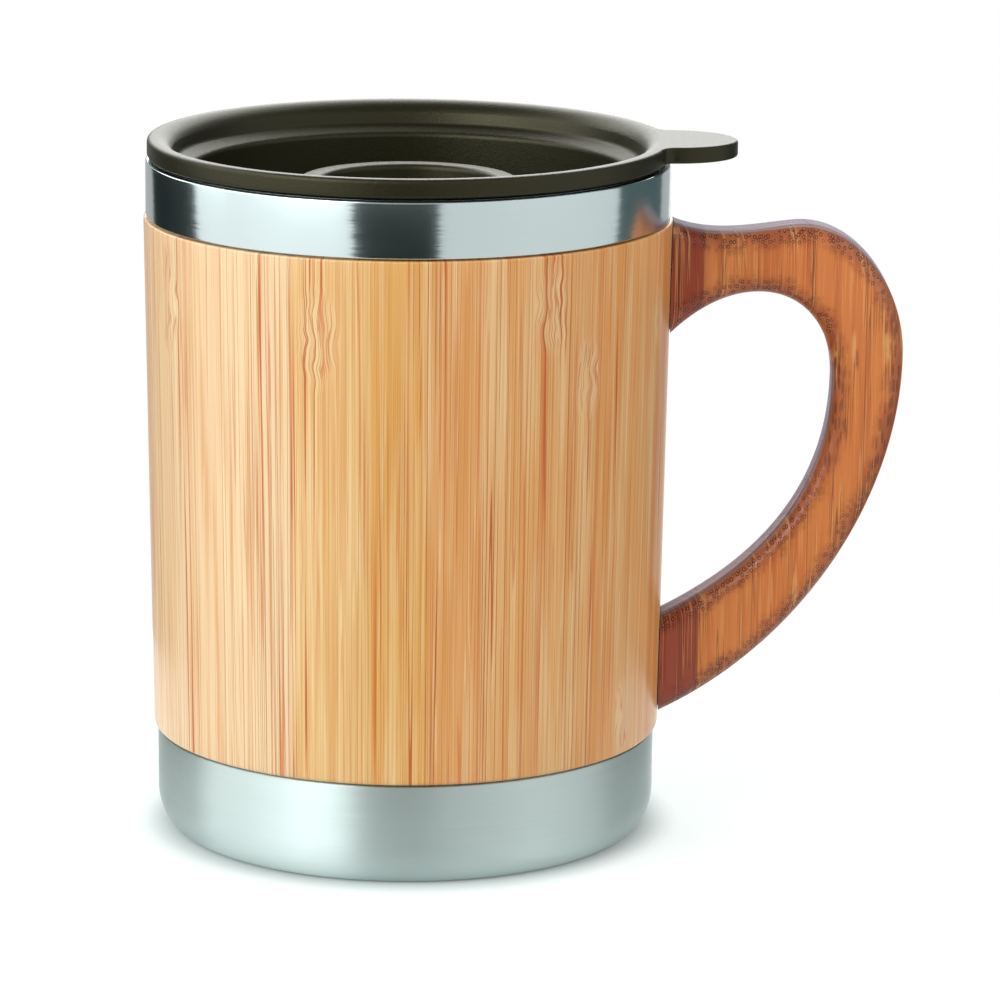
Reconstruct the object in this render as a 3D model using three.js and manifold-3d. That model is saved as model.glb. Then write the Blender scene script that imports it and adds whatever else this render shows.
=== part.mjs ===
// A double-walled steel cup with a bamboo sleeve, a bamboo handle and a press-in lid.
// Millimetres, +Z up. The origin is the middle of the base's resting face, and +X points to the handle.
import * as THREE from "three";
import { mergeVertices } from "three/addons/utils/BufferGeometryUtils.js";
import Module from "manifold-3d";

const wasm = await Module();
wasm.setup();

// Clearances and facets
const FIT = 0.3; // between pieces that are pressed, glued or seated together
const SCREW_FIT = 0.2; // round a screw or a key in its hole
const PLUG_GAP = 0.8; // between the lid's plug and the gasket's seat in the liner
const ROUND = 48; // facets round the cup
const SMALL_ROUND = 24; // facets round a screw or a hub
const BEND = 9; // facets along a curved stretch of an outline
const CORNER = 6; // facets round a lower corner of the base or the liner
const EDGE = 3; // facets round a small rounded edge
const BEVEL = 3; // facets across the rounded edge of a plate
const WELD = 1e-4; // points closer than this are one

// Sheet steel
const STEEL = 0.6; // thickness of all three drawn steel pieces
const BASE_HEIGHT = 16.4;
const BASE_INSET = 0.6; // the base's side lies this far inside the sleeve's lower edge
const BASE_CORNER_ACROSS = 3.6; // the base's rounded lower corner
const BASE_CORNER_UP = 6.4;
const BAND_HEIGHT = 8.9; // polished band of the shell between sleeve and rim
const BAND_INSET = 0.35; // the band's side lies this far inside the sleeve's upper edge
const LIP_ROUND = 0.9; // rounding of the rim's outer edge
const LIP_FLAT = 0.2; // flat part of the shell's turned-in rim
const HEAD_ROOM = 1; // free air between a screw head and the liner
const FLOOR_AIR = 8.4; // air under the liner's floor
const LINER_CORNER = 9; // rounding of the liner's lower corner
const MOUTH_EDGE = 0.6; // upright edge of the liner at the rim
const FLARE_HEIGHT = 3.9; // the liner widens over this height, from seat to mouth
const SEAT_AIR = 0.4; // air between the gasket's seat and the shell
const SEAT_MARGIN = 0.6; // the gasket's seat reaches this far below the lid's plug
const SHOULDER_HEIGHT = 2; // the liner narrows over this height, below the seat

// Bamboo sleeve
const SLEEVE_HEIGHT = 83.6;
const SLEEVE_TOP_RADIUS = 42.5;
const SLEEVE_TAPER = 1.3; // the sleeve's lower radius is this much smaller
const SLEEVE_WALL = 2.2;
const SLEEVE_LOWER_ROUND = 0.7;
const SLEEVE_UPPER_ROUND = 0.35;

// Handle: heights are counted from the sleeve's two edges, and reaches from its upper radius
const HANDLE_THICKNESS = 9;
const HANDLE_EDGE = 2.6; // rounding of the edges
const HANDLE_REACH = 37.5; // outermost point
const OUTER_POINT_DROP = 22; // outermost point below the sleeve's upper edge
const HUMP_REACH = 20.9; // highest point of the hump
const HUMP_DROP = 0.65;
const UPPER_FOOT_DROP = 0.4; // top of the upper foot
const UPPER_FOOT_HEIGHT = 18.4;
const LOWER_FOOT_RISE = 1.9; // tip of the lower foot above the sleeve's lower edge
const LOWER_FOOT_HEIGHT = 16.4;
const TOP_LIMB = 11.15; // limb between the hump and the finger loop
const SIDE_LIMB = 11.45; // limb between the outermost point and the finger loop
const LOOP_TOP_REACH = 14.1; // highest point of the finger loop
const LOOP_SIDE_DROP = 25.6; // outermost point of the finger loop
// Directions in which the outline leaves the feet, in degrees above the horizontal
const UPPER_FOOT_TOP_SLOPE = -21.9;
const UPPER_FOOT_INNER_SLOPE = 45;
const LOWER_FOOT_INNER_SLOPE = 27.4;
const LOWER_FOOT_TIP_SLOPE = 25.8;
// How full each stretch of the outline is, at its start and at its end
const UPPER_EDGE_PULL = [0.39, 0.22]; // upper foot to hump
const SHOULDER_PULL = [0.344, 0.388]; // hump to outermost point
const OUTER_FALL_PULL = [0.337, 0.359]; // outermost point to lower foot
const LOOP_UPPER_PULL = [0.343, 0.343]; // upper foot to the loop's top
const LOOP_SHOULDER_PULL = [0.433, 0.384]; // the loop's top to its side
const LOOP_FALL_PULL = [0.385, 0.392]; // the loop's side to lower foot

// Screws that hold the handle
const SCREW_RADIUS = 1.5;
const SCREW_LENGTH = 12.5; // under the head
const SCREW_HEAD_RADIUS = 3;
const SCREW_HEAD_HEIGHT = 1.4;
const SCREW_POINT = 2; // length of the pointed end
const RECESS_DEPTH = 0.8; // cross recess in a screw head
const RECESS_WIDTH = 0.7;
const RECESS_SHARE = 0.6; // the recess spans this share of the head
const CROWN_SHARE = 0.7; // flat part of a screw head's domed end
const UPPER_SCREW_DROP = 9.2; // below the top of the upper foot
const LOWER_SCREW_RISE = 9.6; // above the tip of the lower foot

// Lid
const LID_INSET = 0.25; // the lid's edge lies this far inside the band
const LID_EDGE_HEIGHT = 3.1; // from the lid's lower edge to its crest
const LID_EDGE_ROUND = 0.8;
const CREST_WIDTH = 1.2; // from the lid's edge to the start of the rounded shoulder inside it
const LID_SHOULDER_DROP = 3.7; // the shoulder curves down this far, to the ledge
const LEDGE_WIDTH = 2.5;
const LEDGE_DROP = 1.2;
const PLUG_WALL = 2.7;
const PLUG_CHAMFER = 0.6;
const PLUG_LAND = 1; // straight part of the plug above the gasket's groove
const WELL_DEPTH = 12; // from the crest to the lid's floor
const WELL_FILLET = 1.2;
const LID_FLOOR = 1.8; // thickness of the floor
const TAB_REACH = 10.9; // thumb tab beyond the lid's edge
const TAB_HALF_WIDTH = 9.3;
const TAB_THICKNESS = 2.6;
const TAB_FILLET = 2; // concave corner between tab and edge
const TAB_EDGE = 0.4; // rounding of the tab's edges
const SLOT_WIDTH = 8; // drinking slot, along a radius
const SLOT_SPAN = 40; // drinking slot, in degrees round the axis
const SLOT_MARGIN = 2.5; // floor left between slot and well wall
const SLOT_DIRECTION = -90; // degrees round the axis from the handle
const VENT_RADIUS = 1.5;

// Gasket
const GASKET_DEPTH = 1.2; // depth of its groove
const GASKET_HEIGHT = 3;
const GASKET_LIP_HEIGHT = 2; // rounded sealing lip
const GASKET_RISE = 1.6; // groove above the plug's lower end

// Closure: dial, shutter and screw
const RING_RADIUS = 17.9; // outside of the dial's grip ring
const RING_WIDTH = 3.7;
const RING_ROUND = 1;
const RING_RISE = 3.4; // top of the ring above the dial's floor
const DIAL_FLOOR = 1.6;
const KEY_RADIUS = 4; // six-sided key under the hub, over its corners
const HUB_STEP = 1; // the hub's radius is this much larger than the key's
const SHUTTER_THICKNESS = 1.6;
const SHUTTER_HUB_WIDTH = 5; // round the key
const SHUTTER_LAP = 2; // the shutter reaches this far past the slot's outer side
const SHUTTER_LAP_TURN = 10; // and this many degrees past each end of the slot
const OPEN_TURN = 20; // degrees between the slot and the shutter when it is open
const STOP_WIDTH = 1.4; // ribs under the floor that stop the shutter
const STOP_LENGTH = 8;
const CLOSURE_SCREW_RADIUS = 1.25;
const CLOSURE_SCREW_COVER = 0.6; // plastic left above the closure screw's hole
const CLOSURE_HEAD_LAP = 1; // the closure screw's head reaches this far past the key's hole
const CLOSURE_HEAD_HEIGHT = 1.5;

// Heights
const SLEEVE_BOTTOM = BASE_HEIGHT + FIT;
const SLEEVE_TOP = SLEEVE_BOTTOM + SLEEVE_HEIGHT;
const BAND_BOTTOM = SLEEVE_TOP + FIT;
const RIM = BAND_BOTTOM + BAND_HEIGHT;
const LID_UNDER = RIM + FIT;
const CREST = LID_UNDER + LID_EDGE_HEIGHT;
const LID_FLOOR_TOP = CREST - WELL_DEPTH;
const LID_FLOOR_UNDER = LID_FLOOR_TOP - LID_FLOOR;
const GROOVE_BOTTOM = LID_FLOOR_UNDER + GASKET_RISE;
const DIAL_UNDER = LID_FLOOR_TOP + FIT;
const DIAL_FLOOR_TOP = DIAL_UNDER + DIAL_FLOOR;
const PILOT_TOP = DIAL_FLOOR_TOP - CLOSURE_SCREW_COVER;
const SHUTTER_TOP = LID_FLOOR_UNDER - FIT;
const SHUTTER_UNDER = SHUTTER_TOP - SHUTTER_THICKNESS;
const SEAT_TOP = RIM - MOUTH_EDGE - FLARE_HEIGHT;
const SEAT_BOTTOM = LID_FLOOR_UNDER - SEAT_MARGIN;
const BORE_TOP = SEAT_BOTTOM - SHOULDER_HEIGHT;
const LINER_BOTTOM = STEEL + FLOOR_AIR;

// Radii
const AIR_GAP = SCREW_HEAD_HEIGHT + HEAD_ROOM;
const SLEEVE_BOTTOM_RADIUS = SLEEVE_TOP_RADIUS - SLEEVE_TAPER;
const sleeveRadius = (z) => {
  const share = (z - SLEEVE_BOTTOM) / SLEEVE_HEIGHT;
  return SLEEVE_BOTTOM_RADIUS + (SLEEVE_TOP_RADIUS - SLEEVE_BOTTOM_RADIUS) * share;
};
const shellRadius = (z) => sleeveRadius(z) - SLEEVE_WALL - FIT;
const linerRadius = (z) => shellRadius(z) - STEEL - AIR_GAP;
const NECK_RADIUS = Math.min(shellRadius(SEAT_BOTTOM), shellRadius(BAND_BOTTOM)) - STEEL;
const BASE_RADIUS = SLEEVE_BOTTOM_RADIUS - BASE_INSET;
const BAND_RADIUS = SLEEVE_TOP_RADIUS - BAND_INSET;
const LIP_WIDTH = LIP_ROUND + LIP_FLAT;
const LIP_RADIUS = BAND_RADIUS - LIP_WIDTH;
const MOUTH_RADIUS = LIP_RADIUS - FIT - STEEL;
const SEAT_RADIUS = NECK_RADIUS - SEAT_AIR - STEEL;
const LID_RADIUS = BAND_RADIUS - LID_INSET;
const PLUG_RADIUS = SEAT_RADIUS - PLUG_GAP;
const WELL_RADIUS = PLUG_RADIUS - PLUG_WALL;
const GROOVE_RADIUS = PLUG_RADIUS - GASKET_DEPTH;
const LEDGE_RADIUS = WELL_RADIUS + LEDGE_WIDTH;
const SLOT_OUTER = WELL_RADIUS - SLOT_MARGIN;
const SLOT_INNER = SLOT_OUTER - SLOT_WIDTH;
const SHUTTER_RADIUS = SLOT_OUTER + SHUTTER_LAP;
const HUB_RADIUS = KEY_RADIUS + HUB_STEP;

// Turns, in degrees: the shutter's middle when the slot is open, and its way from there to closed
const SHUTTER_SPAN = SLOT_SPAN + 2 * SHUTTER_LAP_TURN;
const CLOSING_TURN = (SLOT_SPAN + SHUTTER_SPAN) / 2 + OPEN_TURN;
const SHUTTER_DIRECTION = SLOT_DIRECTION - CLOSING_TURN;

const radians = THREE.MathUtils.degToRad;

// Materials
const steel = (color, roughness) => new THREE.MeshStandardMaterial({ color, roughness, metalness: 1 });
const plain = (color, roughness) => new THREE.MeshStandardMaterial({ color, roughness, metalness: 0 });
const POLISHED_STEEL = steel(0xd5dcdc, 0.15);
const BRUSHED_STEEL = steel(0xb9c4c3, 0.38);
const SCREW_STEEL = steel(0xa8adad, 0.35);
const SLEEVE_BAMBOO = plain(0xe3b277, 0.42);
const HANDLE_BAMBOO = plain(0xb9713a, 0.45);
const LID_PLASTIC = plain(0x2f2a1c, 0.55);
const SILICONE = plain(0x8e918c, 0.6);

// Points of a quarter of an ellipse, or of more of it, from one angle to another in degrees
function arc([r, z], across, up, from, to, steps) {
  const points = [];
  for (let i = 0; i <= steps; i++) {
    const angle = radians(from + ((to - from) * i) / steps);
    points.push([r + across * Math.cos(angle), z + up * Math.sin(angle)]);
  }
  return points;
}

// A solid of revolution about Z. A profile that leaves the axis closes on itself.
function lathe(profile, facets = ROUND) {
  const closed = profile[0][0] > 0 ? [...profile, profile[0]] : profile;
  const points = closed.map(([r, z]) => new THREE.Vector2(r, z));
  return new THREE.LatheGeometry(points, facets).rotateX(Math.PI / 2);
}

// A round rod along Z from one height to another
function rod(radius, from, to, facets = SMALL_ROUND) {
  return lathe([[0, from], [radius, from], [radius, to], [0, to]], facets);
}

// A flat shape in XY, thickened from one height to another, with rounded edges where edge is over 0
function plate(shape, from, to, edge = 0) {
  const options = {
    depth: to - from - 2 * edge,
    curveSegments: BEND,
    bevelEnabled: edge > 0,
    bevelSize: edge,
    bevelOffset: -edge,
    bevelThickness: edge,
    bevelSegments: BEVEL,
  };
  return new THREE.ExtrudeGeometry(shape, options).translate(0, 0, from + edge);
}

// Joins and cuts
function solid(geometry) {
  const bare = geometry.clone();
  bare.deleteAttribute("normal");
  bare.deleteAttribute("uv");
  const merged = mergeVertices(bare, WELD);
  const vertProperties = new Float32Array(merged.attributes.position.array);
  const triVerts = new Uint32Array(merged.index.array);
  return new wasm.Manifold(new wasm.Mesh({ numProp: 3, vertProperties, triVerts }));
}

function combine(geometry, { join = [], cut = [] }) {
  let result = solid(geometry);
  for (const piece of join) result = result.add(solid(piece));
  for (const piece of cut) result = result.subtract(solid(piece));
  const mesh = result.getMesh();
  const made = new THREE.BufferGeometry();
  made.setAttribute("position", new THREE.BufferAttribute(mesh.vertProperties, 3));
  made.setIndex(new THREE.BufferAttribute(mesh.triVerts, 1));
  const faceted = made.toNonIndexed();
  faceted.computeVertexNormals();
  return faceted;
}

// A round cut along +X at a height, from one distance to another
function crossHole(radius, from, to, z) {
  return rod(radius, from, to).rotateY(Math.PI / 2).translate(0, 0, z);
}

function baseCap() {
  const inner = BASE_RADIUS - STEEL;
  const lip = shellRadius(BASE_HEIGHT) + FIT;
  const corner = [BASE_RADIUS - BASE_CORNER_ACROSS, BASE_CORNER_UP];
  const outside = arc(corner, BASE_CORNER_ACROSS, BASE_CORNER_UP, -90, 0, CORNER);
  const inside = arc(corner, BASE_CORNER_ACROSS - STEEL, BASE_CORNER_UP - STEEL, 0, -90, CORNER);
  return lathe([
    [0, 0],
    ...outside,
    [BASE_RADIUS, BASE_HEIGHT],
    [lip, BASE_HEIGHT],
    [lip, BASE_HEIGHT - STEEL],
    [inner, BASE_HEIGHT - STEEL],
    ...inside,
    [0, STEEL],
  ]);
}

// Height of each handle screw, and where its head sits inside the shell
const UPPER_SCREW_HEIGHT = SLEEVE_TOP - UPPER_FOOT_DROP - UPPER_SCREW_DROP;
const LOWER_SCREW_HEIGHT = SLEEVE_BOTTOM + LOWER_FOOT_RISE + LOWER_SCREW_RISE;
const SCREW_HEIGHTS = [UPPER_SCREW_HEIGHT, LOWER_SCREW_HEIGHT];
function headSeat(z) {
  const wall = shellRadius(z) - STEEL;
  return Math.sqrt(wall ** 2 - SCREW_HEAD_RADIUS ** 2) - FIT;
}
function screwHoles() {
  return SCREW_HEIGHTS.map((z) => {
    const from = headSeat(z) - SCREW_HEAD_HEIGHT;
    const to = headSeat(z) + SCREW_LENGTH + FIT;
    return crossHole(SCREW_RADIUS + SCREW_FIT, from, to, z);
  });
}

function outerShell() {
  const end = BASE_CORNER_UP + FIT;
  const step = shellRadius(BAND_BOTTOM);
  const roundCentre = [BAND_RADIUS - LIP_ROUND, RIM - LIP_ROUND];
  const profile = [
    [shellRadius(end), end],
    [step, BAND_BOTTOM],
    [BAND_RADIUS, BAND_BOTTOM],
    ...arc(roundCentre, LIP_ROUND, LIP_ROUND, 0, 90, EDGE),
    [LIP_RADIUS, RIM],
    [LIP_RADIUS, RIM - STEEL],
    [BAND_RADIUS - STEEL, RIM - LIP_WIDTH],
    [BAND_RADIUS - STEEL, BAND_BOTTOM + STEEL],
    [step - STEEL, BAND_BOTTOM + STEEL],
    [shellRadius(end) - STEEL, end],
  ];
  return combine(lathe(profile), { cut: screwHoles() });
}

// One wall of the liner, from its floor to the rim: inset is 0 outside and the sheet's thickness inside
function linerWall(inset) {
  const corner = LINER_CORNER - inset;
  const cornerTop = LINER_BOTTOM + LINER_CORNER;
  const cornerCentre = [linerRadius(cornerTop) - LINER_CORNER, cornerTop];
  return [
    [0, LINER_BOTTOM + inset],
    ...arc(cornerCentre, corner, corner, -90, 0, CORNER),
    [linerRadius(BORE_TOP) - inset, BORE_TOP],
    [SEAT_RADIUS + STEEL - inset, SEAT_BOTTOM],
    [SEAT_RADIUS + STEEL - inset, SEAT_TOP],
    [MOUTH_RADIUS + STEEL - inset, RIM - MOUTH_EDGE],
    [MOUTH_RADIUS + STEEL - inset, RIM],
  ];
}

function innerLiner() {
  return lathe([...linerWall(0), ...linerWall(STEEL).reverse()]);
}

function bambooSleeve() {
  const lower = [SLEEVE_BOTTOM_RADIUS - SLEEVE_LOWER_ROUND, SLEEVE_BOTTOM + SLEEVE_LOWER_ROUND];
  const upper = [SLEEVE_TOP_RADIUS - SLEEVE_UPPER_ROUND, SLEEVE_TOP - SLEEVE_UPPER_ROUND];
  const profile = [
    [SLEEVE_BOTTOM_RADIUS - SLEEVE_WALL, SLEEVE_BOTTOM],
    ...arc(lower, SLEEVE_LOWER_ROUND, SLEEVE_LOWER_ROUND, -90, 0, EDGE),
    ...arc(upper, SLEEVE_UPPER_ROUND, SLEEVE_UPPER_ROUND, 0, 90, EDGE),
    [SLEEVE_TOP_RADIUS - SLEEVE_WALL, SLEEVE_TOP],
  ];
  return combine(lathe(profile), { cut: screwHoles() });
}

// A cubic from one point to the next: it leaves and arrives in the given directions, in degrees,
// and each of its two pulls is a share of the straight distance between the points
function curveTo(shape, from, to, leave, arrive, pull) {
  const span = Math.hypot(to[0] - from[0], to[1] - from[1]);
  shape.bezierCurveTo(
    from[0] + span * pull[0] * Math.cos(radians(leave)),
    from[1] + span * pull[0] * Math.sin(radians(leave)),
    to[0] - span * pull[1] * Math.cos(radians(arrive)),
    to[1] - span * pull[1] * Math.sin(radians(arrive)),
    to[0],
    to[1],
  );
}

// The handle's outline, drawn from the upper foot round the outside to the lower foot and back round the loop
function handleShape() {
  const upperTop = SLEEVE_TOP - UPPER_FOOT_DROP;
  const upperInner = upperTop - UPPER_FOOT_HEIGHT;
  const lowerTip = SLEEVE_BOTTOM + LOWER_FOOT_RISE;
  const lowerInner = lowerTip + LOWER_FOOT_HEIGHT;
  const footStart = Math.min(shellRadius(lowerTip), shellRadius(upperTop)) - HANDLE_EDGE;
  const foot = (z) => [sleeveRadius(z), z];
  const hump = [SLEEVE_TOP_RADIUS + HUMP_REACH, SLEEVE_TOP - HUMP_DROP];
  const outermost = [SLEEVE_TOP_RADIUS + HANDLE_REACH, SLEEVE_TOP - OUTER_POINT_DROP];
  const loopSide = [outermost[0] - SIDE_LIMB, SLEEVE_TOP - LOOP_SIDE_DROP];
  const loopTop = [SLEEVE_TOP_RADIUS + LOOP_TOP_REACH, hump[1] - TOP_LIMB];
  const shape = new THREE.Shape();
  shape.moveTo(footStart, upperTop);
  shape.lineTo(...foot(upperTop));
  curveTo(shape, foot(upperTop), hump, UPPER_FOOT_TOP_SLOPE, 0, UPPER_EDGE_PULL);
  curveTo(shape, hump, outermost, 0, -90, SHOULDER_PULL);
  curveTo(shape, outermost, foot(lowerTip), -90, LOWER_FOOT_TIP_SLOPE - 180, OUTER_FALL_PULL);
  shape.lineTo(footStart, lowerTip);
  shape.lineTo(footStart, lowerInner);
  shape.lineTo(...foot(lowerInner));
  curveTo(shape, foot(lowerInner), loopSide, LOWER_FOOT_INNER_SLOPE, 90, LOOP_FALL_PULL.toReversed());
  curveTo(shape, loopSide, loopTop, 90, 180, LOOP_SHOULDER_PULL.toReversed());
  curveTo(shape, loopTop, foot(upperInner), 180, UPPER_FOOT_INNER_SLOPE - 180, LOOP_UPPER_PULL.toReversed());
  shape.lineTo(footStart, upperInner);
  return shape;
}

function handle() {
  const half = HANDLE_THICKNESS / 2;
  const board = plate(handleShape(), -half, half, HANDLE_EDGE).rotateX(Math.PI / 2);
  const low = SLEEVE_BOTTOM - SLEEVE_HEIGHT;
  const high = SLEEVE_TOP + SLEEVE_HEIGHT;
  const cup = lathe([
    [0, low],
    [sleeveRadius(low) + FIT, low],
    [sleeveRadius(high) + FIT, high],
    [0, high],
  ]);
  return combine(board, { cut: [cup, ...screwHoles()] });
}

// A screw along +Z: its head lies below 0 and its shank above
function screw(radius, length, point, headRadius, headHeight) {
  const profile = [
    [0, -headHeight],
    [headRadius * CROWN_SHARE, -headHeight],
    [headRadius, -headHeight / 2],
    [headRadius, 0],
    [radius, 0],
    [radius, length - point],
    [0, length],
  ];
  const recess = 2 * headRadius * RECESS_SHARE;
  const slots = [0, Math.PI / 2].map((turn) =>
    new THREE.BoxGeometry(recess, RECESS_WIDTH, 2 * RECESS_DEPTH)
      .rotateZ(turn)
      .translate(0, 0, -headHeight),
  );
  return combine(lathe(profile, SMALL_ROUND), { cut: slots });
}

function handleScrew(z) {
  return screw(SCREW_RADIUS, SCREW_LENGTH, SCREW_POINT, SCREW_HEAD_RADIUS, SCREW_HEAD_HEIGHT)
    .rotateY(Math.PI / 2)
    .translate(headSeat(z), 0, z);
}

// The thumb tab's outline: a tongue with a rounded end and a concave corner at each side
function tabShape() {
  const cornerY = TAB_HALF_WIDTH + TAB_FILLET;
  const cornerX = Math.sqrt((LID_RADIUS + TAB_FILLET) ** 2 - cornerY ** 2);
  const endLength = LID_RADIUS + TAB_REACH - cornerX;
  const touch = Math.atan2(cornerY, cornerX);
  const shape = new THREE.Shape();
  shape.moveTo(0, 0);
  shape.lineTo(LID_RADIUS * Math.cos(touch), -LID_RADIUS * Math.sin(touch));
  shape.absarc(cornerX, -cornerY, TAB_FILLET, Math.PI - touch, Math.PI / 2, true);
  shape.absellipse(cornerX, 0, endLength, TAB_HALF_WIDTH, -Math.PI / 2, Math.PI / 2, false);
  shape.absarc(cornerX, cornerY, TAB_FILLET, -Math.PI / 2, touch - Math.PI, true);
  return shape;
}

function thumbTab() {
  const bottom = CREST - TAB_THICKNESS;
  const tongue = plate(tabShape(), bottom, CREST, TAB_EDGE);
  const crestInside = LID_RADIUS - LID_EDGE_ROUND;
  return combine(tongue, { cut: [rod(crestInside, bottom - FIT, CREST + FIT, ROUND)] });
}

// A curved slot round the axis, from one radius to another
function slotShape(inner, outer, centre, span) {
  const from = radians(centre - span / 2);
  const to = radians(centre + span / 2);
  const shape = new THREE.Shape();
  shape.absarc(0, 0, outer, from, to, false);
  shape.absarc(0, 0, inner, to, from, true);
  return shape;
}

// Ribs under the floor that the shutter's edges meet at the two ends of its turn
function stopRibs() {
  const clearance = THREE.MathUtils.radToDeg((STOP_WIDTH / 2 + FIT) / SLOT_INNER);
  const reach = SHUTTER_SPAN / 2 + clearance;
  const height = LID_FLOOR / 2 + FIT + SHUTTER_THICKNESS;
  return [SHUTTER_DIRECTION - reach, SLOT_DIRECTION + reach].map((angle) =>
    new THREE.BoxGeometry(STOP_LENGTH, STOP_WIDTH, height)
      .translate(SLOT_INNER + STOP_LENGTH / 2, 0, SHUTTER_UNDER + height / 2)
      .rotateZ(radians(angle)),
  );
}

function lidBody() {
  const hubHole = HUB_RADIUS + SCREW_FIT;
  const grooveTop = GROOVE_BOTTOM + GASKET_HEIGHT + 2 * FIT;
  const flareOut = MOUTH_RADIUS - PLUG_GAP;
  const crestInside = LID_RADIUS - CREST_WIDTH;
  const ledge = CREST - LID_SHOULDER_DROP;
  const shoulder = crestInside - LEDGE_RADIUS;
  const edgeRound = [LID_RADIUS - LID_EDGE_ROUND, CREST - LID_EDGE_ROUND];
  const edgeUnder = [LID_RADIUS - LID_EDGE_ROUND, LID_UNDER + LID_EDGE_ROUND];
  const filletCentre = [WELL_RADIUS - WELL_FILLET, LID_FLOOR_TOP + WELL_FILLET];
  const profile = [
    [hubHole, LID_FLOOR_UNDER],
    [PLUG_RADIUS - PLUG_CHAMFER, LID_FLOOR_UNDER],
    [PLUG_RADIUS, LID_FLOOR_UNDER + PLUG_CHAMFER],
    [PLUG_RADIUS, GROOVE_BOTTOM],
    [GROOVE_RADIUS, GROOVE_BOTTOM],
    [GROOVE_RADIUS, grooveTop],
    [PLUG_RADIUS, grooveTop],
    [PLUG_RADIUS, grooveTop + PLUG_LAND],
    [flareOut, RIM],
    [flareOut, LID_UNDER],
    ...arc(edgeUnder, LID_EDGE_ROUND, LID_EDGE_ROUND, -90, 0, EDGE),
    ...arc(edgeRound, LID_EDGE_ROUND, LID_EDGE_ROUND, 0, 90, EDGE),
    ...arc([crestInside, ledge], shoulder, LID_SHOULDER_DROP, 90, 180, CORNER),
    [WELL_RADIUS, ledge - LEDGE_DROP],
    ...arc(filletCentre, WELL_FILLET, WELL_FILLET, 0, -90, EDGE),
    [hubHole, LID_FLOOR_TOP],
  ];
  const slot = slotShape(SLOT_INNER, SLOT_OUTER, SLOT_DIRECTION, SLOT_SPAN);
  const from = LID_FLOOR_UNDER - FIT;
  const to = LID_FLOOR_TOP + FIT;
  const ventReach = (SLOT_INNER + SLOT_OUTER) / 2;
  const ventAngle = radians(SLOT_DIRECTION + 180);
  const vent = rod(VENT_RADIUS, from, to).translate(
    ventReach * Math.cos(ventAngle),
    ventReach * Math.sin(ventAngle),
    0,
  );
  return combine(lathe(profile), {
    join: [thumbTab(), ...stopRibs()],
    cut: [plate(slot, from, to), vent],
  });
}

// A silicone ring with one rounded sealing lip
function lidGasket() {
  const bottom = GROOVE_BOTTOM + FIT;
  const top = bottom + GASKET_HEIGHT;
  const inside = GROOVE_RADIUS + FIT;
  const outside = SEAT_RADIUS - FIT;
  const lip = outside - PLUG_RADIUS;
  const middle = (bottom + top) / 2;
  return lathe([
    [inside, bottom],
    [PLUG_RADIUS, bottom],
    ...arc([PLUG_RADIUS, middle], lip, GASKET_LIP_HEIGHT / 2, -90, 90, 2 * EDGE),
    [PLUG_RADIUS, top],
    [inside, top],
  ]);
}

// The dial's six-sided key, and the same outline grown for the hole that takes it
function keyShape(grow) {
  const shape = new THREE.Shape();
  const corner = KEY_RADIUS + grow;
  for (let i = 0; i < 6; i++) {
    const angle = (i * Math.PI) / 3;
    const point = [corner * Math.cos(angle), corner * Math.sin(angle)];
    if (i === 0) shape.moveTo(...point);
    else shape.lineTo(...point);
  }
  shape.closePath();
  return shape;
}

function closureDial() {
  const ringTop = DIAL_FLOOR_TOP + RING_RISE;
  const ringInside = RING_RADIUS - RING_WIDTH;
  const outerRound = [RING_RADIUS - RING_ROUND, ringTop - RING_ROUND];
  const innerRound = [ringInside + RING_ROUND, ringTop - RING_ROUND];
  const profile = [
    [0, LID_FLOOR_UNDER],
    [HUB_RADIUS, LID_FLOOR_UNDER],
    [HUB_RADIUS, DIAL_UNDER],
    [RING_RADIUS, DIAL_UNDER],
    ...arc(outerRound, RING_ROUND, RING_ROUND, 0, 90, EDGE),
    ...arc(innerRound, RING_ROUND, RING_ROUND, 90, 180, EDGE),
    [ringInside, DIAL_FLOOR_TOP],
    [0, DIAL_FLOOR_TOP],
  ];
  const key = plate(keyShape(0), SHUTTER_UNDER + FIT, DIAL_UNDER).rotateZ(radians(SHUTTER_DIRECTION));
  const pilot = rod(CLOSURE_SCREW_RADIUS + SCREW_FIT, SHUTTER_UNDER, PILOT_TOP);
  return combine(lathe(profile), { join: [key], cut: [pilot] });
}

// A fan on a round hub
function closureShutter() {
  const half = radians(SHUTTER_SPAN / 2);
  const shape = new THREE.Shape();
  shape.absarc(0, 0, SHUTTER_RADIUS, -half, half, false);
  shape.absarc(0, 0, KEY_RADIUS + SHUTTER_HUB_WIDTH, half, 2 * Math.PI - half, false);
  shape.holes.push(keyShape(SCREW_FIT));
  return plate(shape, SHUTTER_UNDER, SHUTTER_TOP).rotateZ(radians(SHUTTER_DIRECTION));
}

function closureScrew() {
  const seat = SHUTTER_UNDER - FIT;
  const length = PILOT_TOP - FIT - seat;
  const headRadius = KEY_RADIUS + SCREW_FIT + CLOSURE_HEAD_LAP;
  return screw(CLOSURE_SCREW_RADIUS, length, CLOSURE_SCREW_RADIUS, headRadius, CLOSURE_HEAD_HEIGHT)
    .translate(0, 0, seat);
}

function piece(name, geometry, material) {
  const mesh = new THREE.Mesh(geometry, material);
  mesh.name = name;
  return mesh;
}

const cup = new THREE.Group();
cup.add(
  piece("base_cap", baseCap(), BRUSHED_STEEL),
  piece("outer_shell", outerShell(), POLISHED_STEEL),
  piece("inner_liner", innerLiner(), POLISHED_STEEL),
  piece("bamboo_sleeve", bambooSleeve(), SLEEVE_BAMBOO),
  piece("handle", handle(), HANDLE_BAMBOO),
  piece("upper_handle_screw", handleScrew(UPPER_SCREW_HEIGHT), SCREW_STEEL),
  piece("lower_handle_screw", handleScrew(LOWER_SCREW_HEIGHT), SCREW_STEEL),
);

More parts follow.
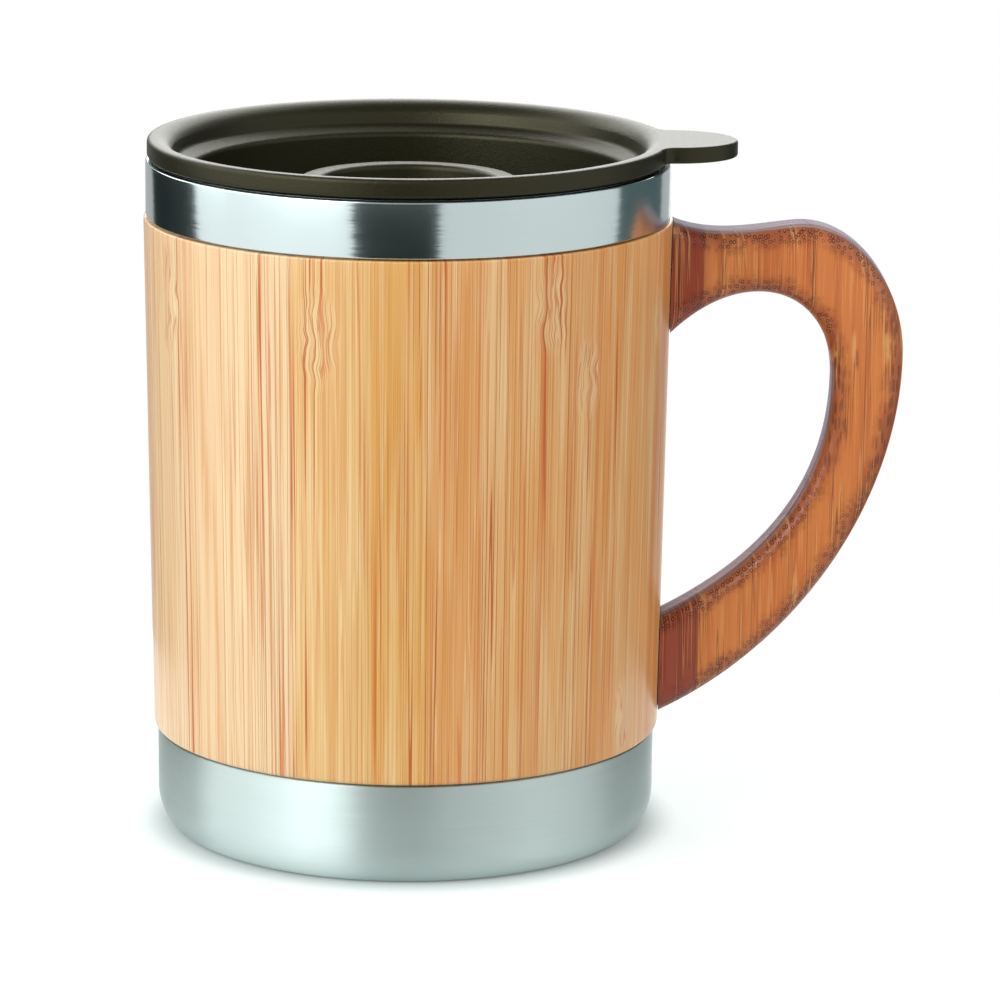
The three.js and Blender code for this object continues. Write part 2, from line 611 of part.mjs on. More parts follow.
const closure = new THREE.Group();
closure.add(
  piece("closure_dial", closureDial(), LID_PLASTIC),
  piece("closure_shutter", closureShutter(), LID_PLASTIC),
  piece("closure_screw", closureScrew(), SCREW_STEEL),
);

const lid = new THREE.Group();
lid.add(
  piece("lid_body", lidBody(), LID_PLASTIC),
  piece("lid_gasket", lidGasket(), SILICONE),
  closure,
);

const doubleWalledCup = new THREE.Group();
doubleWalledCup.add(cup, lid);
export default doubleWalledCup;
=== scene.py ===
"""Looks of a double-walled steel cup with a bamboo sleeve, a bamboo handle and a press-in lid."""

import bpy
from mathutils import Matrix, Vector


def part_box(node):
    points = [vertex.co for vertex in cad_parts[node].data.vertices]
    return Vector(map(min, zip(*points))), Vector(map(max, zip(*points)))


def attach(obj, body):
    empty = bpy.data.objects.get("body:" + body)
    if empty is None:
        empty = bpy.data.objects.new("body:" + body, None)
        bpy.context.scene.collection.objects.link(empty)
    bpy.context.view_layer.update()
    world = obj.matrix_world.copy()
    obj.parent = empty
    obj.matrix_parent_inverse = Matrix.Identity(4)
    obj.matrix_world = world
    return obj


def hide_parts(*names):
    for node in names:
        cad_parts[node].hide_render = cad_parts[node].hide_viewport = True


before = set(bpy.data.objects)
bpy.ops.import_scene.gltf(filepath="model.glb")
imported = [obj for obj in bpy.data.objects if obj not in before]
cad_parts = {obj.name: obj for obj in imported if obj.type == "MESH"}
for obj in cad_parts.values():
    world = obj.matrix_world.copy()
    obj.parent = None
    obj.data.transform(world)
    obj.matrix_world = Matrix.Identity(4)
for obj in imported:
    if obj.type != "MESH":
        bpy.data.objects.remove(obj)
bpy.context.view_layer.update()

import math

import bmesh
import bpy
from mathutils import Matrix, Vector
from mathutils.geometry import intersect_point_line

MM = 0.001  # sizes here are in millimetres, and meshes in metres


def box_mm(node):
    """Lowest and highest corner of a node of the frame, in millimetres."""
    low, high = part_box(node)
    return low / MM, high / MM


# Sizes that the frame gives
SLEEVE_LOW, SLEEVE_HIGH = box_mm("bamboo_sleeve")
SHELL_LOW, SHELL_HIGH = box_mm("outer_shell")
GASKET_LOW, GASKET_HIGH = box_mm("lid_gasket")
DIAL_LOW, DIAL_HIGH = box_mm("closure_dial")
SHUTTER_LOW, SHUTTER_HIGH = box_mm("closure_shutter")
LINER_LOW = box_mm("inner_liner")[0]
BASE_HIGH = box_mm("base_cap")[1]
HANDLE_HIGH = box_mm("handle")[1]
LID_HIGH = box_mm("lid_body")[1]

# Fineness of the meshes
ROUND = 192  # segments round the cup
SMALL_ROUND = 64  # segments round a screw or a hub
CORNER = 14  # steps round a wide corner
FILLET = 5  # steps round a small rounded edge
PLATE_EDGE = 8  # steps round a plate's rounded edge
BEND = 40  # steps along a stretch of the handle's outline
SLEEVE_LEVELS = 24  # steps up the sleeve
CARD_STEPS = 24  # steps round a card
DISC_SIDES = 60  # sides of the floor and of the ceiling
TINY = 1e-4  # shorter lengths count as none
SMOOTH_BELOW = math.radians(32)  # edges sharper than this stay sharp

# Steel
STEEL = 0.6  # thickness of the sheet
FIT = 0.3  # between seated pieces
SCREW_FIT = 0.2  # round a screw or a key in its hole
BASE_CORNER_ACROSS = 3.6
BASE_CORNER_UP = 6.4
BASE_LIP_ROUND = 0.25
LIP_ROUND = 0.35  # rounding of the rim's outer edge
LIP_WIDTH = 1.1  # turned-in rim
AIR_GAP = 2.4  # between shell and liner
LINER_CORNER = 9
MOUTH_EDGE = 0.6
FLARE_HEIGHT = 3.9
SEAT_AIR = 0.4
SEAT_MARGIN = 0.6
SHOULDER_HEIGHT = 2
SHOULDER_ROUND = 1.2

# Bamboo sleeve
SLEEVE_TAPER = 1.3
SLEEVE_WALL = 2.2
SLEEVE_LOWER_ROUND = 0.7
SLEEVE_UPPER_ROUND = 0.35

# Handle: drops are counted from the sleeve's upper edge, and reaches from its upper radius
HANDLE_EDGE = 2.6  # rounding of the edges
EDGE_MARK_SPACING = 2  # between the points that hold the distance from the edge
HANDLE_GAP = 0.15  # between the feet and the sleeve
OUTER_POINT_DROP = 22
HUMP_REACH = 20.9
HUMP_DROP = 0.65
UPPER_FOOT_DROP = 0.4
UPPER_FOOT_HEIGHT = 18.4
LOWER_FOOT_RISE = 1.9
LOWER_FOOT_HEIGHT = 16.4
TOP_LIMB = 11.15
SIDE_LIMB = 11.45
LOOP_TOP_REACH = 14.1
LOOP_SIDE_DROP = 25.6
# Directions of its outline at the feet, in degrees
TIP_DIRECTION = 25.8
TOP_DIRECTION = 158.1
LOOP_START_DIRECTION = 45
LOOP_END_DIRECTION = -152.6
# How far the two ends of each stretch pull it along, as shares of its span
OUTER_LOWER_PULL = (0.359, 0.337)
OUTER_UPPER_PULL = (0.388, 0.344)
TOP_PULL = (0.22, 0.39)
LOOP_UPPER_PULL = (0.343, 0.343)
LOOP_OUTER_PULL = (0.433, 0.384)
LOOP_LOWER_PULL = (0.385, 0.392)

# Lid
LID_EDGE_HEIGHT = 3.1
LID_EDGE_ROUND = 0.8
CREST_WIDTH = 1.2
LID_SHOULDER_DROP = 3.7
LID_SHOULDER_END = 152  # degrees round the shoulder's arc, from its middle
LEDGE_WIDTH = 2.5
LEDGE_DROP = 1.2
LEDGE_ROUND = 1.1
PLUG_GAP = 0.8
PLUG_WALL = 2.7
PLUG_CHAMFER = 0.6
PLUG_LAND = 1
WELL_DEPTH = 12
WELL_FILLET = 1.2
LID_FLOOR = 1.8
TAB_HALF_WIDTH = 9.3
TAB_THICKNESS = 2.6
TAB_FILLET = 2
TAB_EDGE = 0.4
TAB_ROOT_TURN = 4  # degrees by which the tab's root reaches into the rim at each side
SLOT_WIDTH = 8
SLOT_SPAN = 40  # degrees
SLOT_MARGIN = 2.5
SLOT_DIRECTION = -90  # degrees round the axis from the handle
VENT_RADIUS = 1.5
GASKET_DEPTH = 1.2
GASKET_LIP_HEIGHT = 2

# Closure
RING_WIDTH = 3.7
RING_ROUND = 1
DIAL_FLOOR = 1.6
KEY_RADIUS = 4
KEY_SIDES = 6
HUB_STEP = 1
SHUTTER_HUB_WIDTH = 5
SHUTTER_LAP = 2
SHUTTER_LAP_TURN = 10  # degrees
OPEN_TURN = 20  # degrees
STOP_WIDTH = 1.4
STOP_LENGTH = 8
PILOT_RADIUS = 1.45
SCREW_COVER = 0.6  # plastic left above the closure screw's hole
RECESS_SHARE = 0.6  # cross recess, as a share of a screw head's radius
RECESS_WIDTH = 0.7
RECESS_DEPTH = 0.8
SHANK_SHARE = 0.5  # a handle screw's shank, as a share of its head's radius
CLOSURE_SHANK_SHARE = 0.24
HEAD_HEIGHT = 1.4
CLOSURE_HEAD_HEIGHT = 1.5

# Heights and radii that follow from these
RIM = SHELL_HIGH.z
BAND_BOTTOM = SLEEVE_HIGH.z + FIT
CREST = LID_HIGH.z
LID_UNDER = CREST - LID_EDGE_HEIGHT
LID_FLOOR_TOP = CREST - WELL_DEPTH
LID_FLOOR_UNDER = LID_FLOOR_TOP - LID_FLOOR
SEAT_BOTTOM = LID_FLOOR_UNDER - SEAT_MARGIN
SEAT_TOP = RIM - MOUTH_EDGE - FLARE_HEIGHT
BORE_TOP = SEAT_BOTTOM - SHOULDER_HEIGHT
SLEEVE_RADIUS = SLEEVE_HIGH.y
BASE_RADIUS = BASE_HIGH.y
BAND_RADIUS = SHELL_HIGH.y
LID_RADIUS = LID_HIGH.y
MOUTH_RADIUS = BAND_RADIUS - LIP_WIDTH - FIT - STEEL


def sleeve_radius(z):
    """Outer radius of the tapered sleeve at a height."""
    share = (SLEEVE_HIGH.z - z) / (SLEEVE_HIGH.z - SLEEVE_LOW.z)
    return SLEEVE_RADIUS - SLEEVE_TAPER * share


def shell_radius(z):
    return sleeve_radius(z) - SLEEVE_WALL - FIT


def liner_radius(z):
    return shell_radius(z) - STEEL - AIR_GAP


SEAT_RADIUS = shell_radius(SEAT_BOTTOM) - 2 * STEEL - SEAT_AIR
PLUG_RADIUS = SEAT_RADIUS - PLUG_GAP
WELL_RADIUS = PLUG_RADIUS - PLUG_WALL
SLOT_OUTER = WELL_RADIUS - SLOT_MARGIN
SLOT_INNER = SLOT_OUTER - SLOT_WIDTH
SHUTTER_SPAN = SLOT_SPAN + 2 * SHUTTER_LAP_TURN
SHUTTER_DIRECTION = SLOT_DIRECTION - (SLOT_SPAN + SHUTTER_SPAN) / 2 - OPEN_TURN


# Shapes

def heading(degrees):
    """The direction of an angle, as a flat vector of length 1."""
    angle = math.radians(degrees)
    return Vector((math.cos(angle), math.sin(angle)))


def arc(centre, across, up, start, end, steps=CORNER):
    """Points of a stretch of an ellipse, between two angles in degrees."""
    points = []
    for i in range(steps + 1):
        angle = math.radians(start + (end - start) * i / steps)
        points.append((centre[0] + across * math.cos(angle), centre[1] + up * math.sin(angle)))
    return points


def circle(radius, start, end, steps):
    """Points of a stretch of a circle about the axis, between two angles in degrees."""
    return arc((0, 0), radius, radius, start, end, steps)


def polygon(radius, sides):
    return circle(radius, 0, 360 - 360 / sides, sides - 1)


def rounded(corners, closed=True):
    """A polyline from (u, v) or (u, v, radius) corners, where a radius rounds its corner off."""
    points = []
    count = len(corners)
    for i, corner in enumerate(corners):
        here = Vector(corner[:2])
        at_end = not closed and i in (0, count - 1)
        if len(corner) < 3 or at_end:
            points.append(here)
            continue
        before = Vector(corners[i - 1][:2]) - here
        after = Vector(corners[(i + 1) % count][:2]) - here
        reach = corner[2] / math.tan(before.angle(after) / 2)
        start = here + before.normalized() * min(reach, before.length / 2)
        end = here + after.normalized() * min(reach, after.length / 2)
        for k in range(FILLET + 1):
            s = k / FILLET
            points.append(start * (1 - s) ** 2 + here * 2 * s * (1 - s) + end * s ** 2)
    return [tuple(point) for point in points]


def add_object(name, data):
    thing = bpy.data.objects.new(name, data)
    bpy.context.scene.collection.objects.link(thing)
    return thing


def make_piece(name, vertices, faces):
    """A smooth mesh object from points in millimetres, with its faces turned outwards."""
    mesh = bpy.data.meshes.new(name)
    mesh.from_pydata([Vector(vertex) * MM for vertex in vertices], [], faces)
    shape = bmesh.new()
    shape.from_mesh(mesh)
    bmesh.ops.recalc_face_normals(shape, faces=shape.faces)
    shape.to_mesh(mesh)
    shape.free()
    piece = add_object(name, mesh)
    soften(piece)
    return piece


def soften(piece):
    piece.data.shade_smooth()
    piece.data.set_sharp_from_angle(angle=SMOOTH_BELOW)


def lathe(name, profile, segments=ROUND):
    """A solid of revolution about Z. A profile that doesn't start on the axis closes on itself."""
    vertices = []
    rings = []
    for r, z in profile:
        if r < TINY:
            rings.append([len(vertices)])
            vertices.append((0, 0, z))
            continue
        rings.append(list(range(len(vertices), len(vertices) + segments)))
        for i in range(segments):
            angle = 2 * math.pi * i / segments
            vertices.append((r * math.cos(angle), r * math.sin(angle), z))
    pairs = list(zip(rings, rings[1:]))
    if profile[0][0] > TINY:
        pairs.append((rings[-1], rings[0]))
    faces = []
    for low, high in pairs:
        for i in range(segments):
            k = (i + 1) % segments
            loop = [low[i % len(low)], low[k % len(low)], high[k % len(high)], high[i % len(high)]]
            face = list(dict.fromkeys(loop))
            if len(face) > 2:
                faces.append(face)
    return make_piece(name, vertices, faces)


def inset(outline, distance):
    """The outline of a closed shape, moved inwards by a distance. It runs anticlockwise."""
    moved = []
    count = len(outline)
    for i, point in enumerate(outline):
        along = Vector(outline[(i + 1) % count]) - Vector(outline[i - 1])
        inwards = Vector((-along.y, along.x)).normalized()
        moved.append(Vector(point) + inwards * distance)
    return moved


def flat(u, v, w):
    return (u, v, w)


def upright(u, v, w):
    return (u, w, v)


def plate(name, outline, low, high, edge=0, place=flat):
    """An outline thickened from one level to another, with rounded edges.

    place(u, v, w) gives the point in space.
    """
    outline = [point for i, point in enumerate(outline) if math.dist(point, outline[i - 1]) > TINY]
    levels = [(0.0, low), (0.0, high)]
    if edge > 0:
        levels = [(edge - r, w) for r, w in arc((0, low + edge), edge, edge, -90, 0, PLATE_EDGE)]
        levels += [(edge - r, w) for r, w in arc((0, high - edge), edge, edge, 0, 90, PLATE_EDGE)]
    count = len(outline)
    vertices = []
    for distance, w in levels:
        vertices += [place(u, v, w) for u, v in inset(outline, distance)]
    faces = [list(range(count)), list(range(len(vertices) - count, len(vertices)))]
    for ring in range(len(levels) - 1):
        for i in range(count):
            k = (i + 1) % count
            first = ring * count
            faces.append([first + i, first + k, first + count + k, first + count + i])
    return make_piece(name, vertices, faces)


def combine(piece, tools, operation):
    """Joins other shapes to a piece or cuts them from it. The other shapes are used up."""
    for tool in tools:
        modifier = piece.modifiers.new("combine", "BOOLEAN")
        modifier.operation = operation
        modifier.solver = "EXACT"
        modifier.object = tool
    graph = bpy.context.evaluated_depsgraph_get()
    mesh = bpy.data.meshes.new_from_object(piece.evaluated_get(graph))
    piece.modifiers.clear()
    piece.data = mesh
    for tool in tools:
        bpy.data.objects.remove(tool)
    soften(piece)
    return piece


def flatten_shading(piece):
    """Lets the large flat faces set the shading where they meet rounded edges."""
    modifier = piece.modifiers.new("normals", "WEIGHTED_NORMAL")
    modifier.keep_sharp = True


def rod(name, radius, low, high, segments=SMALL_ROUND):
    return lathe(name, [(0, low), (radius, low), (radius, high), (0, high)], segments)


def turned(piece, matrix):
    """Moves a piece by its vertices, so that its object stays at the origin."""
    piece.data.transform(matrix)
    return piece


def about_z(degrees):
    return Matrix.Rotation(math.radians(degrees), 4, "Z")


def bar(name, start, end, width, low, high, degrees):
    """A straight bar that lies in a direction, from one distance from the axis to another."""
    half = width / 2
    outline = [(start, -half), (end, -half), (end, half), (start, half)]
    return turned(plate(name, outline, low, high), about_z(degrees))


# Steel pieces

def base_cap():
    inner = BASE_RADIUS - STEEL
    top = BASE_HIGH.z
    lip = shell_radius(top) + FIT
    corner = (BASE_RADIUS - BASE_CORNER_ACROSS, BASE_CORNER_UP)
    outside = arc(corner, BASE_CORNER_ACROSS, BASE_CORNER_UP, -90, 0)
    inside = arc(corner, BASE_CORNER_ACROSS - STEEL, BASE_CORNER_UP - STEEL, 0, -90)
    profile = [(0, 0), *outside, (BASE_RADIUS, top, BASE_LIP_ROUND)]
    profile += [(lip, top), (lip, top - STEEL), (inner, top - STEEL)]
    profile += [*inside, (0, STEEL)]
    return lathe("base", rounded(profile, closed=False))


def outer_shell():
    end = SHELL_LOW.z
    step = shell_radius(BAND_BOTTOM)
    profile = [
        (shell_radius(end), end),
        (step, BAND_BOTTOM),
        (BAND_RADIUS, BAND_BOTTOM, BASE_LIP_ROUND),
        (BAND_RADIUS, RIM, LIP_ROUND),
        (BAND_RADIUS - LIP_WIDTH, RIM),
        (BAND_RADIUS - LIP_WIDTH, RIM - STEEL),
        (BAND_RADIUS - STEEL, RIM - LIP_WIDTH),
        (BAND_RADIUS - STEEL, BAND_BOTTOM + STEEL),
        (step - STEEL, BAND_BOTTOM + STEEL),
        (shell_radius(end) - STEEL, end),
    ]
    shell = lathe("shell", rounded(profile))
    return combine(shell, screw_holes(), "DIFFERENCE")


def liner_wall(thin):
    """One side of the liner's wall: thin is 0 outside, and the sheet's thickness inside."""
    bottom = LINER_LOW.z
    top = bottom + LINER_CORNER
    centre = (liner_radius(top) - LINER_CORNER, top)
    corner = LINER_CORNER - thin
    return [
        (0, bottom + thin),
        *arc(centre, corner, corner, -90, 0),
        (liner_radius(BORE_TOP) - thin, BORE_TOP, SHOULDER_ROUND),
        (SEAT_RADIUS + STEEL - thin, SEAT_BOTTOM, SHOULDER_ROUND),
        (SEAT_RADIUS + STEEL - thin, SEAT_TOP, SHOULDER_ROUND),
        (MOUTH_RADIUS + STEEL - thin, RIM - MOUTH_EDGE, MOUTH_EDGE / 2),
        (MOUTH_RADIUS + STEEL - thin, RIM),
    ]


def inner_liner():
    outside = rounded(liner_wall(0), closed=False)
    inside = rounded(liner_wall(STEEL), closed=False)
    return lathe("liner", outside + inside[::-1])


def screw_axes():
    """Height, head end and tip of each handle screw, and the radius of its head."""
    axes = []
    for node in ("upper_handle_screw", "lower_handle_screw"):
        low, high = box_mm(node)
        axes.append(((low.z + high.z) / 2, low.x, high.x, (high.z - low.z) / 2))
    return axes


def along_x(z):
    """Lays a shape that points along +Z along +X, at a height."""
    return Matrix.Translation((0, 0, z * MM)) @ Matrix.Rotation(math.pi / 2, 4, "Y")


def screw_holes():
    holes = []
    for z, start, end, head in screw_axes():
        hole = rod("hole", head * SHANK_SHARE + SCREW_FIT, start, end + FIT)
        holes.append(turned(hole, along_x(z)))
    return holes


def screw(name, radius, length, point, head_radius, head_height):
    """A screw along +Z with its head below 0, and a cross recess in the head."""
    profile = [
        (0, -head_height),
        (head_radius, -head_height, head_height * RECESS_SHARE),
        (head_radius, 0),
        (radius, 0),
        (radius, length - point),
        (0, length),
    ]
    piece = lathe(name, rounded(profile, closed=False), SMALL_ROUND)
    reach = head_radius * RECESS_SHARE
    low, high = -head_height - FIT, RECESS_DEPTH - head_height
    bars = [bar("bar", -reach, reach, RECESS_WIDTH, low, high, degrees) for degrees in (0, 90)]
    return combine(piece, bars, "DIFFERENCE")


def handle_screws():
    screws = []
    for name, (z, start, end, head) in zip(("upper_screw", "lower_screw"), screw_axes()):
        shank = head * SHANK_SHARE
        piece = screw(name, shank, end - start - HEAD_HEIGHT, shank, head, HEAD_HEIGHT)
        shift = Matrix.Translation((0, 0, (start + HEAD_HEIGHT) * MM))
        screws.append(turned(piece, along_x(z) @ shift))
    return screws


# Bamboo pieces

def bamboo_sleeve():
    low, high = SLEEVE_LOW.z, SLEEVE_HIGH.z
    bottom = sleeve_radius(low)
    inner = SLEEVE_RADIUS - SLEEVE_WALL
    corners = [(bottom - SLEEVE_WALL, low), (bottom, low, SLEEVE_LOWER_ROUND)]
    heights = [low + (high - low) * i / SLEEVE_LEVELS for i in range(1, SLEEVE_LEVELS)]
    corners += [(sleeve_radius(z), z) for z in heights]
    corners += [(SLEEVE_RADIUS, high, SLEEVE_UPPER_ROUND), (inner, high)]
    corners += [(sleeve_radius(z) - SLEEVE_WALL, z) for z in reversed(heights)]
    sleeve = lathe("sleeve", rounded(corners))
    return combine(sleeve, screw_holes(), "DIFFERENCE")


def curve(start, end, leave, arrive, pull):
    """Points of a cubic, without its last. It leaves and arrives in two directions, in degrees."""
    span = math.dist(start, end)
    a, d = Vector(start), Vector(end)
    b = a + heading(leave) * span * pull[0]
    c = d - heading(arrive) * span * pull[1]
    points = []
    for i in range(BEND):
        s = i / BEND
        t = 1 - s
        points.append(tuple(a * t ** 3 + b * 3 * t * t * s + c * 3 * t * s * s + d * s ** 3))
    return points


def handle_outline():
    """The handle's outline in X and Z, anticlockwise.

    It runs round the outside from the lower foot, and back round the loop.
    """
    top = SLEEVE_HIGH.z
    upper_top = top - UPPER_FOOT_DROP
    upper_inner = upper_top - UPPER_FOOT_HEIGHT
    lower_tip = SLEEVE_LOW.z + LOWER_FOOT_RISE
    lower_inner = lower_tip + LOWER_FOOT_HEIGHT
    start = shell_radius(lower_tip) - HANDLE_EDGE
    hump = (SLEEVE_RADIUS + HUMP_REACH, top - HUMP_DROP)
    outermost = (HANDLE_HIGH.x, top - OUTER_POINT_DROP)
    loop_side = (outermost[0] - SIDE_LIMB, top - LOOP_SIDE_DROP)
    loop_top = (SLEEVE_RADIUS + LOOP_TOP_REACH, hump[1] - TOP_LIMB)
    tip_foot = (sleeve_radius(lower_tip), lower_tip)
    top_foot = (sleeve_radius(upper_top), upper_top)
    inner_top_foot = (sleeve_radius(upper_inner), upper_inner)
    inner_low_foot = (sleeve_radius(lower_inner), lower_inner)
    outline = [(start, lower_tip)]
    outline += curve(tip_foot, outermost, TIP_DIRECTION, 90, OUTER_LOWER_PULL)
    outline += curve(outermost, hump, 90, 180, OUTER_UPPER_PULL)
    outline += curve(hump, top_foot, 180, TOP_DIRECTION, TOP_PULL)
    outline += [top_foot, (start, upper_top), (start, upper_inner)]
    outline += curve(inner_top_foot, loop_top, LOOP_START_DIRECTION, 0, LOOP_UPPER_PULL)
    outline += curve(loop_top, loop_side, 0, -90, LOOP_OUTER_PULL)
    outline += curve(loop_side, inner_low_foot, -90, LOOP_END_DIRECTION, LOOP_LOWER_PULL)
    outline += [inner_low_foot, (start, lower_inner)]
    return outline


def slice_faces(piece, spacing):
    """Cuts a piece's faces along evenly spaced planes across X and Z, to get points in them."""
    mesh = bmesh.new()
    mesh.from_mesh(piece.data)
    for axis in (Vector((1, 0, 0)), Vector((0, 0, 1))):
        places = [vertex.co.dot(axis) / MM for vertex in mesh.verts]
        for k in range(math.ceil(min(places) / spacing), math.ceil(max(places) / spacing)):
            everything = [*mesh.verts, *mesh.edges, *mesh.faces]
            point = axis * (k * spacing * MM)
            bmesh.ops.bisect_plane(mesh, geom=everything, plane_co=point, plane_no=axis)
    mesh.to_mesh(piece.data)
    mesh.free()


def nearest_edge(outline, point):
    """A point's distance from an outline, and how far the outline runs across Z there, up to 1."""
    best = math.inf
    across = 0.0
    for i, end in enumerate(outline):
        start, end = Vector(outline[i - 1]), Vector(end)
        near, share = intersect_point_line(point, start, end)
        near = start if share < 0 else end if share > 1 else near
        distance = (point - near.to_2d()).length
        if distance < best:
            best = distance
            across = abs((end - start).normalized().x)
    return best, across


def mark_edges(board, outline):
    """Stores at each of the board's points what nearest_edge says of it."""
    slice_faces(board, EDGE_MARK_SPACING)
    marks = [nearest_edge(outline, Vector((v.co.x, v.co.z)) / MM) for v in board.data.vertices]
    for name, values in zip(("edge_distance", "edge_across"), zip(*marks)):
        board.data.attributes.new(name, "FLOAT", "POINT").data.foreach_set("value", values)


def handle():
    half = HANDLE_HIGH.y
    outline = handle_outline()
    board = plate("handle", outline, -half, half, HANDLE_EDGE, upright)
    reach = SLEEVE_HIGH.z - SLEEVE_LOW.z
    low, high = SLEEVE_LOW.z - reach, SLEEVE_HIGH.z + reach
    lower, upper = ((sleeve_radius(z) + HANDLE_GAP, z) for z in (low, high))
    cone = lathe("cone", [(0, low), lower, upper, (0, high)])
    board = combine(board, [cone, *screw_holes()], "DIFFERENCE")
    mark_edges(board, outline)
    soften(board)
    flatten_shading(board)
    return board


# Lid and closure

def tab_outline():
    """The thumb tab's outline: a tongue with a rounded end and a concave corner at each side."""
    corner_y = TAB_HALF_WIDTH + TAB_FILLET
    corner_x = math.sqrt((LID_RADIUS + TAB_FILLET) ** 2 - corner_y ** 2)
    touch = math.degrees(math.atan2(corner_y, corner_x))
    root = heading(touch + TAB_ROOT_TURN) * (LID_RADIUS - 2 * LID_EDGE_ROUND)
    outline = [(0, 0), (root.x, -root.y)]
    outline += arc((corner_x, -corner_y), TAB_FILLET, TAB_FILLET, 180 - touch, 90)
    outline += arc((corner_x, 0), LID_HIGH.x - corner_x, TAB_HALF_WIDTH, -90, 90, 2 * BEND)
    outline += arc((corner_x, corner_y), TAB_FILLET, TAB_FILLET, -90, touch - 180)
    return outline + [tuple(root)]


def thumb_tab():
    bottom = CREST - TAB_THICKNESS
    tongue = plate("tab", tab_outline(), bottom, CREST, TAB_EDGE)
    core = rod("core", LID_RADIUS - LID_EDGE_ROUND, bottom - FIT, CREST + FIT, ROUND)
    return combine(tongue, [core], "DIFFERENCE")


def ring_sector(name, inner, outer, centre, span, low, high):
    """A curved plate round the axis, from one radius to another."""
    start, end = centre - span / 2, centre + span / 2
    steps = BEND + 1
    outline = circle(outer, start, end, steps) + circle(inner, end, start, steps)
    return plate(name, outline, low, high)


def stop_ribs():
    """Ribs under the lid's floor that the shutter's edges meet at the two ends of its turn."""
    clearance = math.degrees((STOP_WIDTH / 2 + FIT) / SLOT_INNER)
    reach = SHUTTER_SPAN / 2 + clearance
    end = SLOT_INNER + STOP_LENGTH
    low, high = SHUTTER_LOW.z, LID_FLOOR_UNDER + LID_FLOOR / 2
    directions = (SHUTTER_DIRECTION - reach, SLOT_DIRECTION + reach)
    return [bar("rib", SLOT_INNER, end, STOP_WIDTH, low, high, degrees) for degrees in directions]


def lid_profile():
    hub_hole = KEY_RADIUS + HUB_STEP + SCREW_FIT
    groove = PLUG_RADIUS - GASKET_DEPTH
    groove_bottom = GASKET_LOW.z - FIT
    groove_top = GASKET_HIGH.z + FIT
    flare = MOUTH_RADIUS - PLUG_GAP
    ledge = CREST - LID_SHOULDER_DROP
    crest_inside = LID_RADIUS - CREST_WIDTH
    shoulder = crest_inside - WELL_RADIUS - LEDGE_WIDTH
    return [
        (hub_hole, LID_FLOOR_UNDER),
        (PLUG_RADIUS, LID_FLOOR_UNDER, PLUG_CHAMFER),
        (PLUG_RADIUS, groove_bottom),
        (groove, groove_bottom),
        (groove, groove_top),
        (PLUG_RADIUS, groove_top),
        (PLUG_RADIUS, groove_top + PLUG_LAND, PLUG_LAND / 2),
        (flare, RIM),
        (flare, LID_UNDER),
        (LID_RADIUS, LID_UNDER, LID_EDGE_ROUND),
        (LID_RADIUS, CREST, LID_EDGE_ROUND),
        *arc((crest_inside, ledge), shoulder, LID_SHOULDER_DROP, 90, LID_SHOULDER_END),
        (crest_inside - shoulder, ledge, LEDGE_ROUND),
        (WELL_RADIUS, ledge - LEDGE_DROP, LEDGE_ROUND),
        (WELL_RADIUS, LID_FLOOR_TOP, WELL_FILLET),
        (hub_hole, LID_FLOOR_TOP),
    ]


def lid_body():
    lid = lathe("lid", rounded(lid_profile()))
    lid = combine(lid, [thumb_tab(), *stop_ribs()], "UNION")
    low, high = LID_FLOOR_UNDER - FIT, LID_FLOOR_TOP + FIT
    slot = ring_sector("slot", SLOT_INNER, SLOT_OUTER, SLOT_DIRECTION, SLOT_SPAN, low, high)
    opposite = heading(SLOT_DIRECTION + 180) * (SLOT_INNER + SLOT_OUTER) / 2
    vent = rod("vent", VENT_RADIUS, low, high)
    turned(vent, Matrix.Translation((*(opposite * MM), 0)))
    lid = combine(lid, [slot, vent], "DIFFERENCE")
    flatten_shading(lid)
    return lid


def lid_gasket():
    inside = PLUG_RADIUS - GASKET_DEPTH + FIT
    middle = (GASKET_LOW.z + GASKET_HIGH.z) / 2
    lip = arc((PLUG_RADIUS, middle), GASKET_HIGH.y - PLUG_RADIUS, GASKET_LIP_HEIGHT / 2, -90, 90)
    profile = [(inside, GASKET_LOW.z), (PLUG_RADIUS, GASKET_LOW.z), *lip]
    profile += [(PLUG_RADIUS, GASKET_HIGH.z), (inside, GASKET_HIGH.z)]
    return lathe("gasket", profile)


def key(grow, low, high):
    """The six-sided key that turns the shutter with the dial."""
    outline = polygon(KEY_RADIUS + grow, KEY_SIDES)
    return turned(plate("key", outline, low, high), about_z(SHUTTER_DIRECTION))


def closure_dial():
    under = LID_FLOOR_TOP + FIT
    floor = under + DIAL_FLOOR
    top = DIAL_HIGH.z
    outer = DIAL_HIGH.x
    inner = outer - RING_WIDTH
    hub = KEY_RADIUS + HUB_STEP
    profile = [
        (0, LID_FLOOR_UNDER),
        (hub, LID_FLOOR_UNDER),
        (hub, under),
        (outer, under),
        (outer, top, RING_ROUND),
        (inner, top, RING_ROUND),
        (inner, floor, RING_ROUND / 2),
        (0, floor),
    ]
    dial = lathe("dial", rounded(profile, closed=False))
    dial = combine(dial, [key(0, DIAL_LOW.z, under)], "UNION")
    pilot = rod("pilot", PILOT_RADIUS, DIAL_LOW.z - FIT, floor - SCREW_COVER)
    return combine(dial, [pilot], "DIFFERENCE")


def closure_shutter():
    low, high = SHUTTER_LOW.z, SHUTTER_HIGH.z
    hub = KEY_RADIUS + SHUTTER_HUB_WIDTH
    half = SHUTTER_SPAN / 2
    reach = SLOT_OUTER + SHUTTER_LAP
    outline = circle(reach, -half, half, BEND) + circle(hub, half, 360 - half, BEND)
    shutter = turned(plate("shutter", outline, low, high), about_z(SHUTTER_DIRECTION))
    return combine(shutter, [key(SCREW_FIT, low - FIT, high + FIT)], "DIFFERENCE")


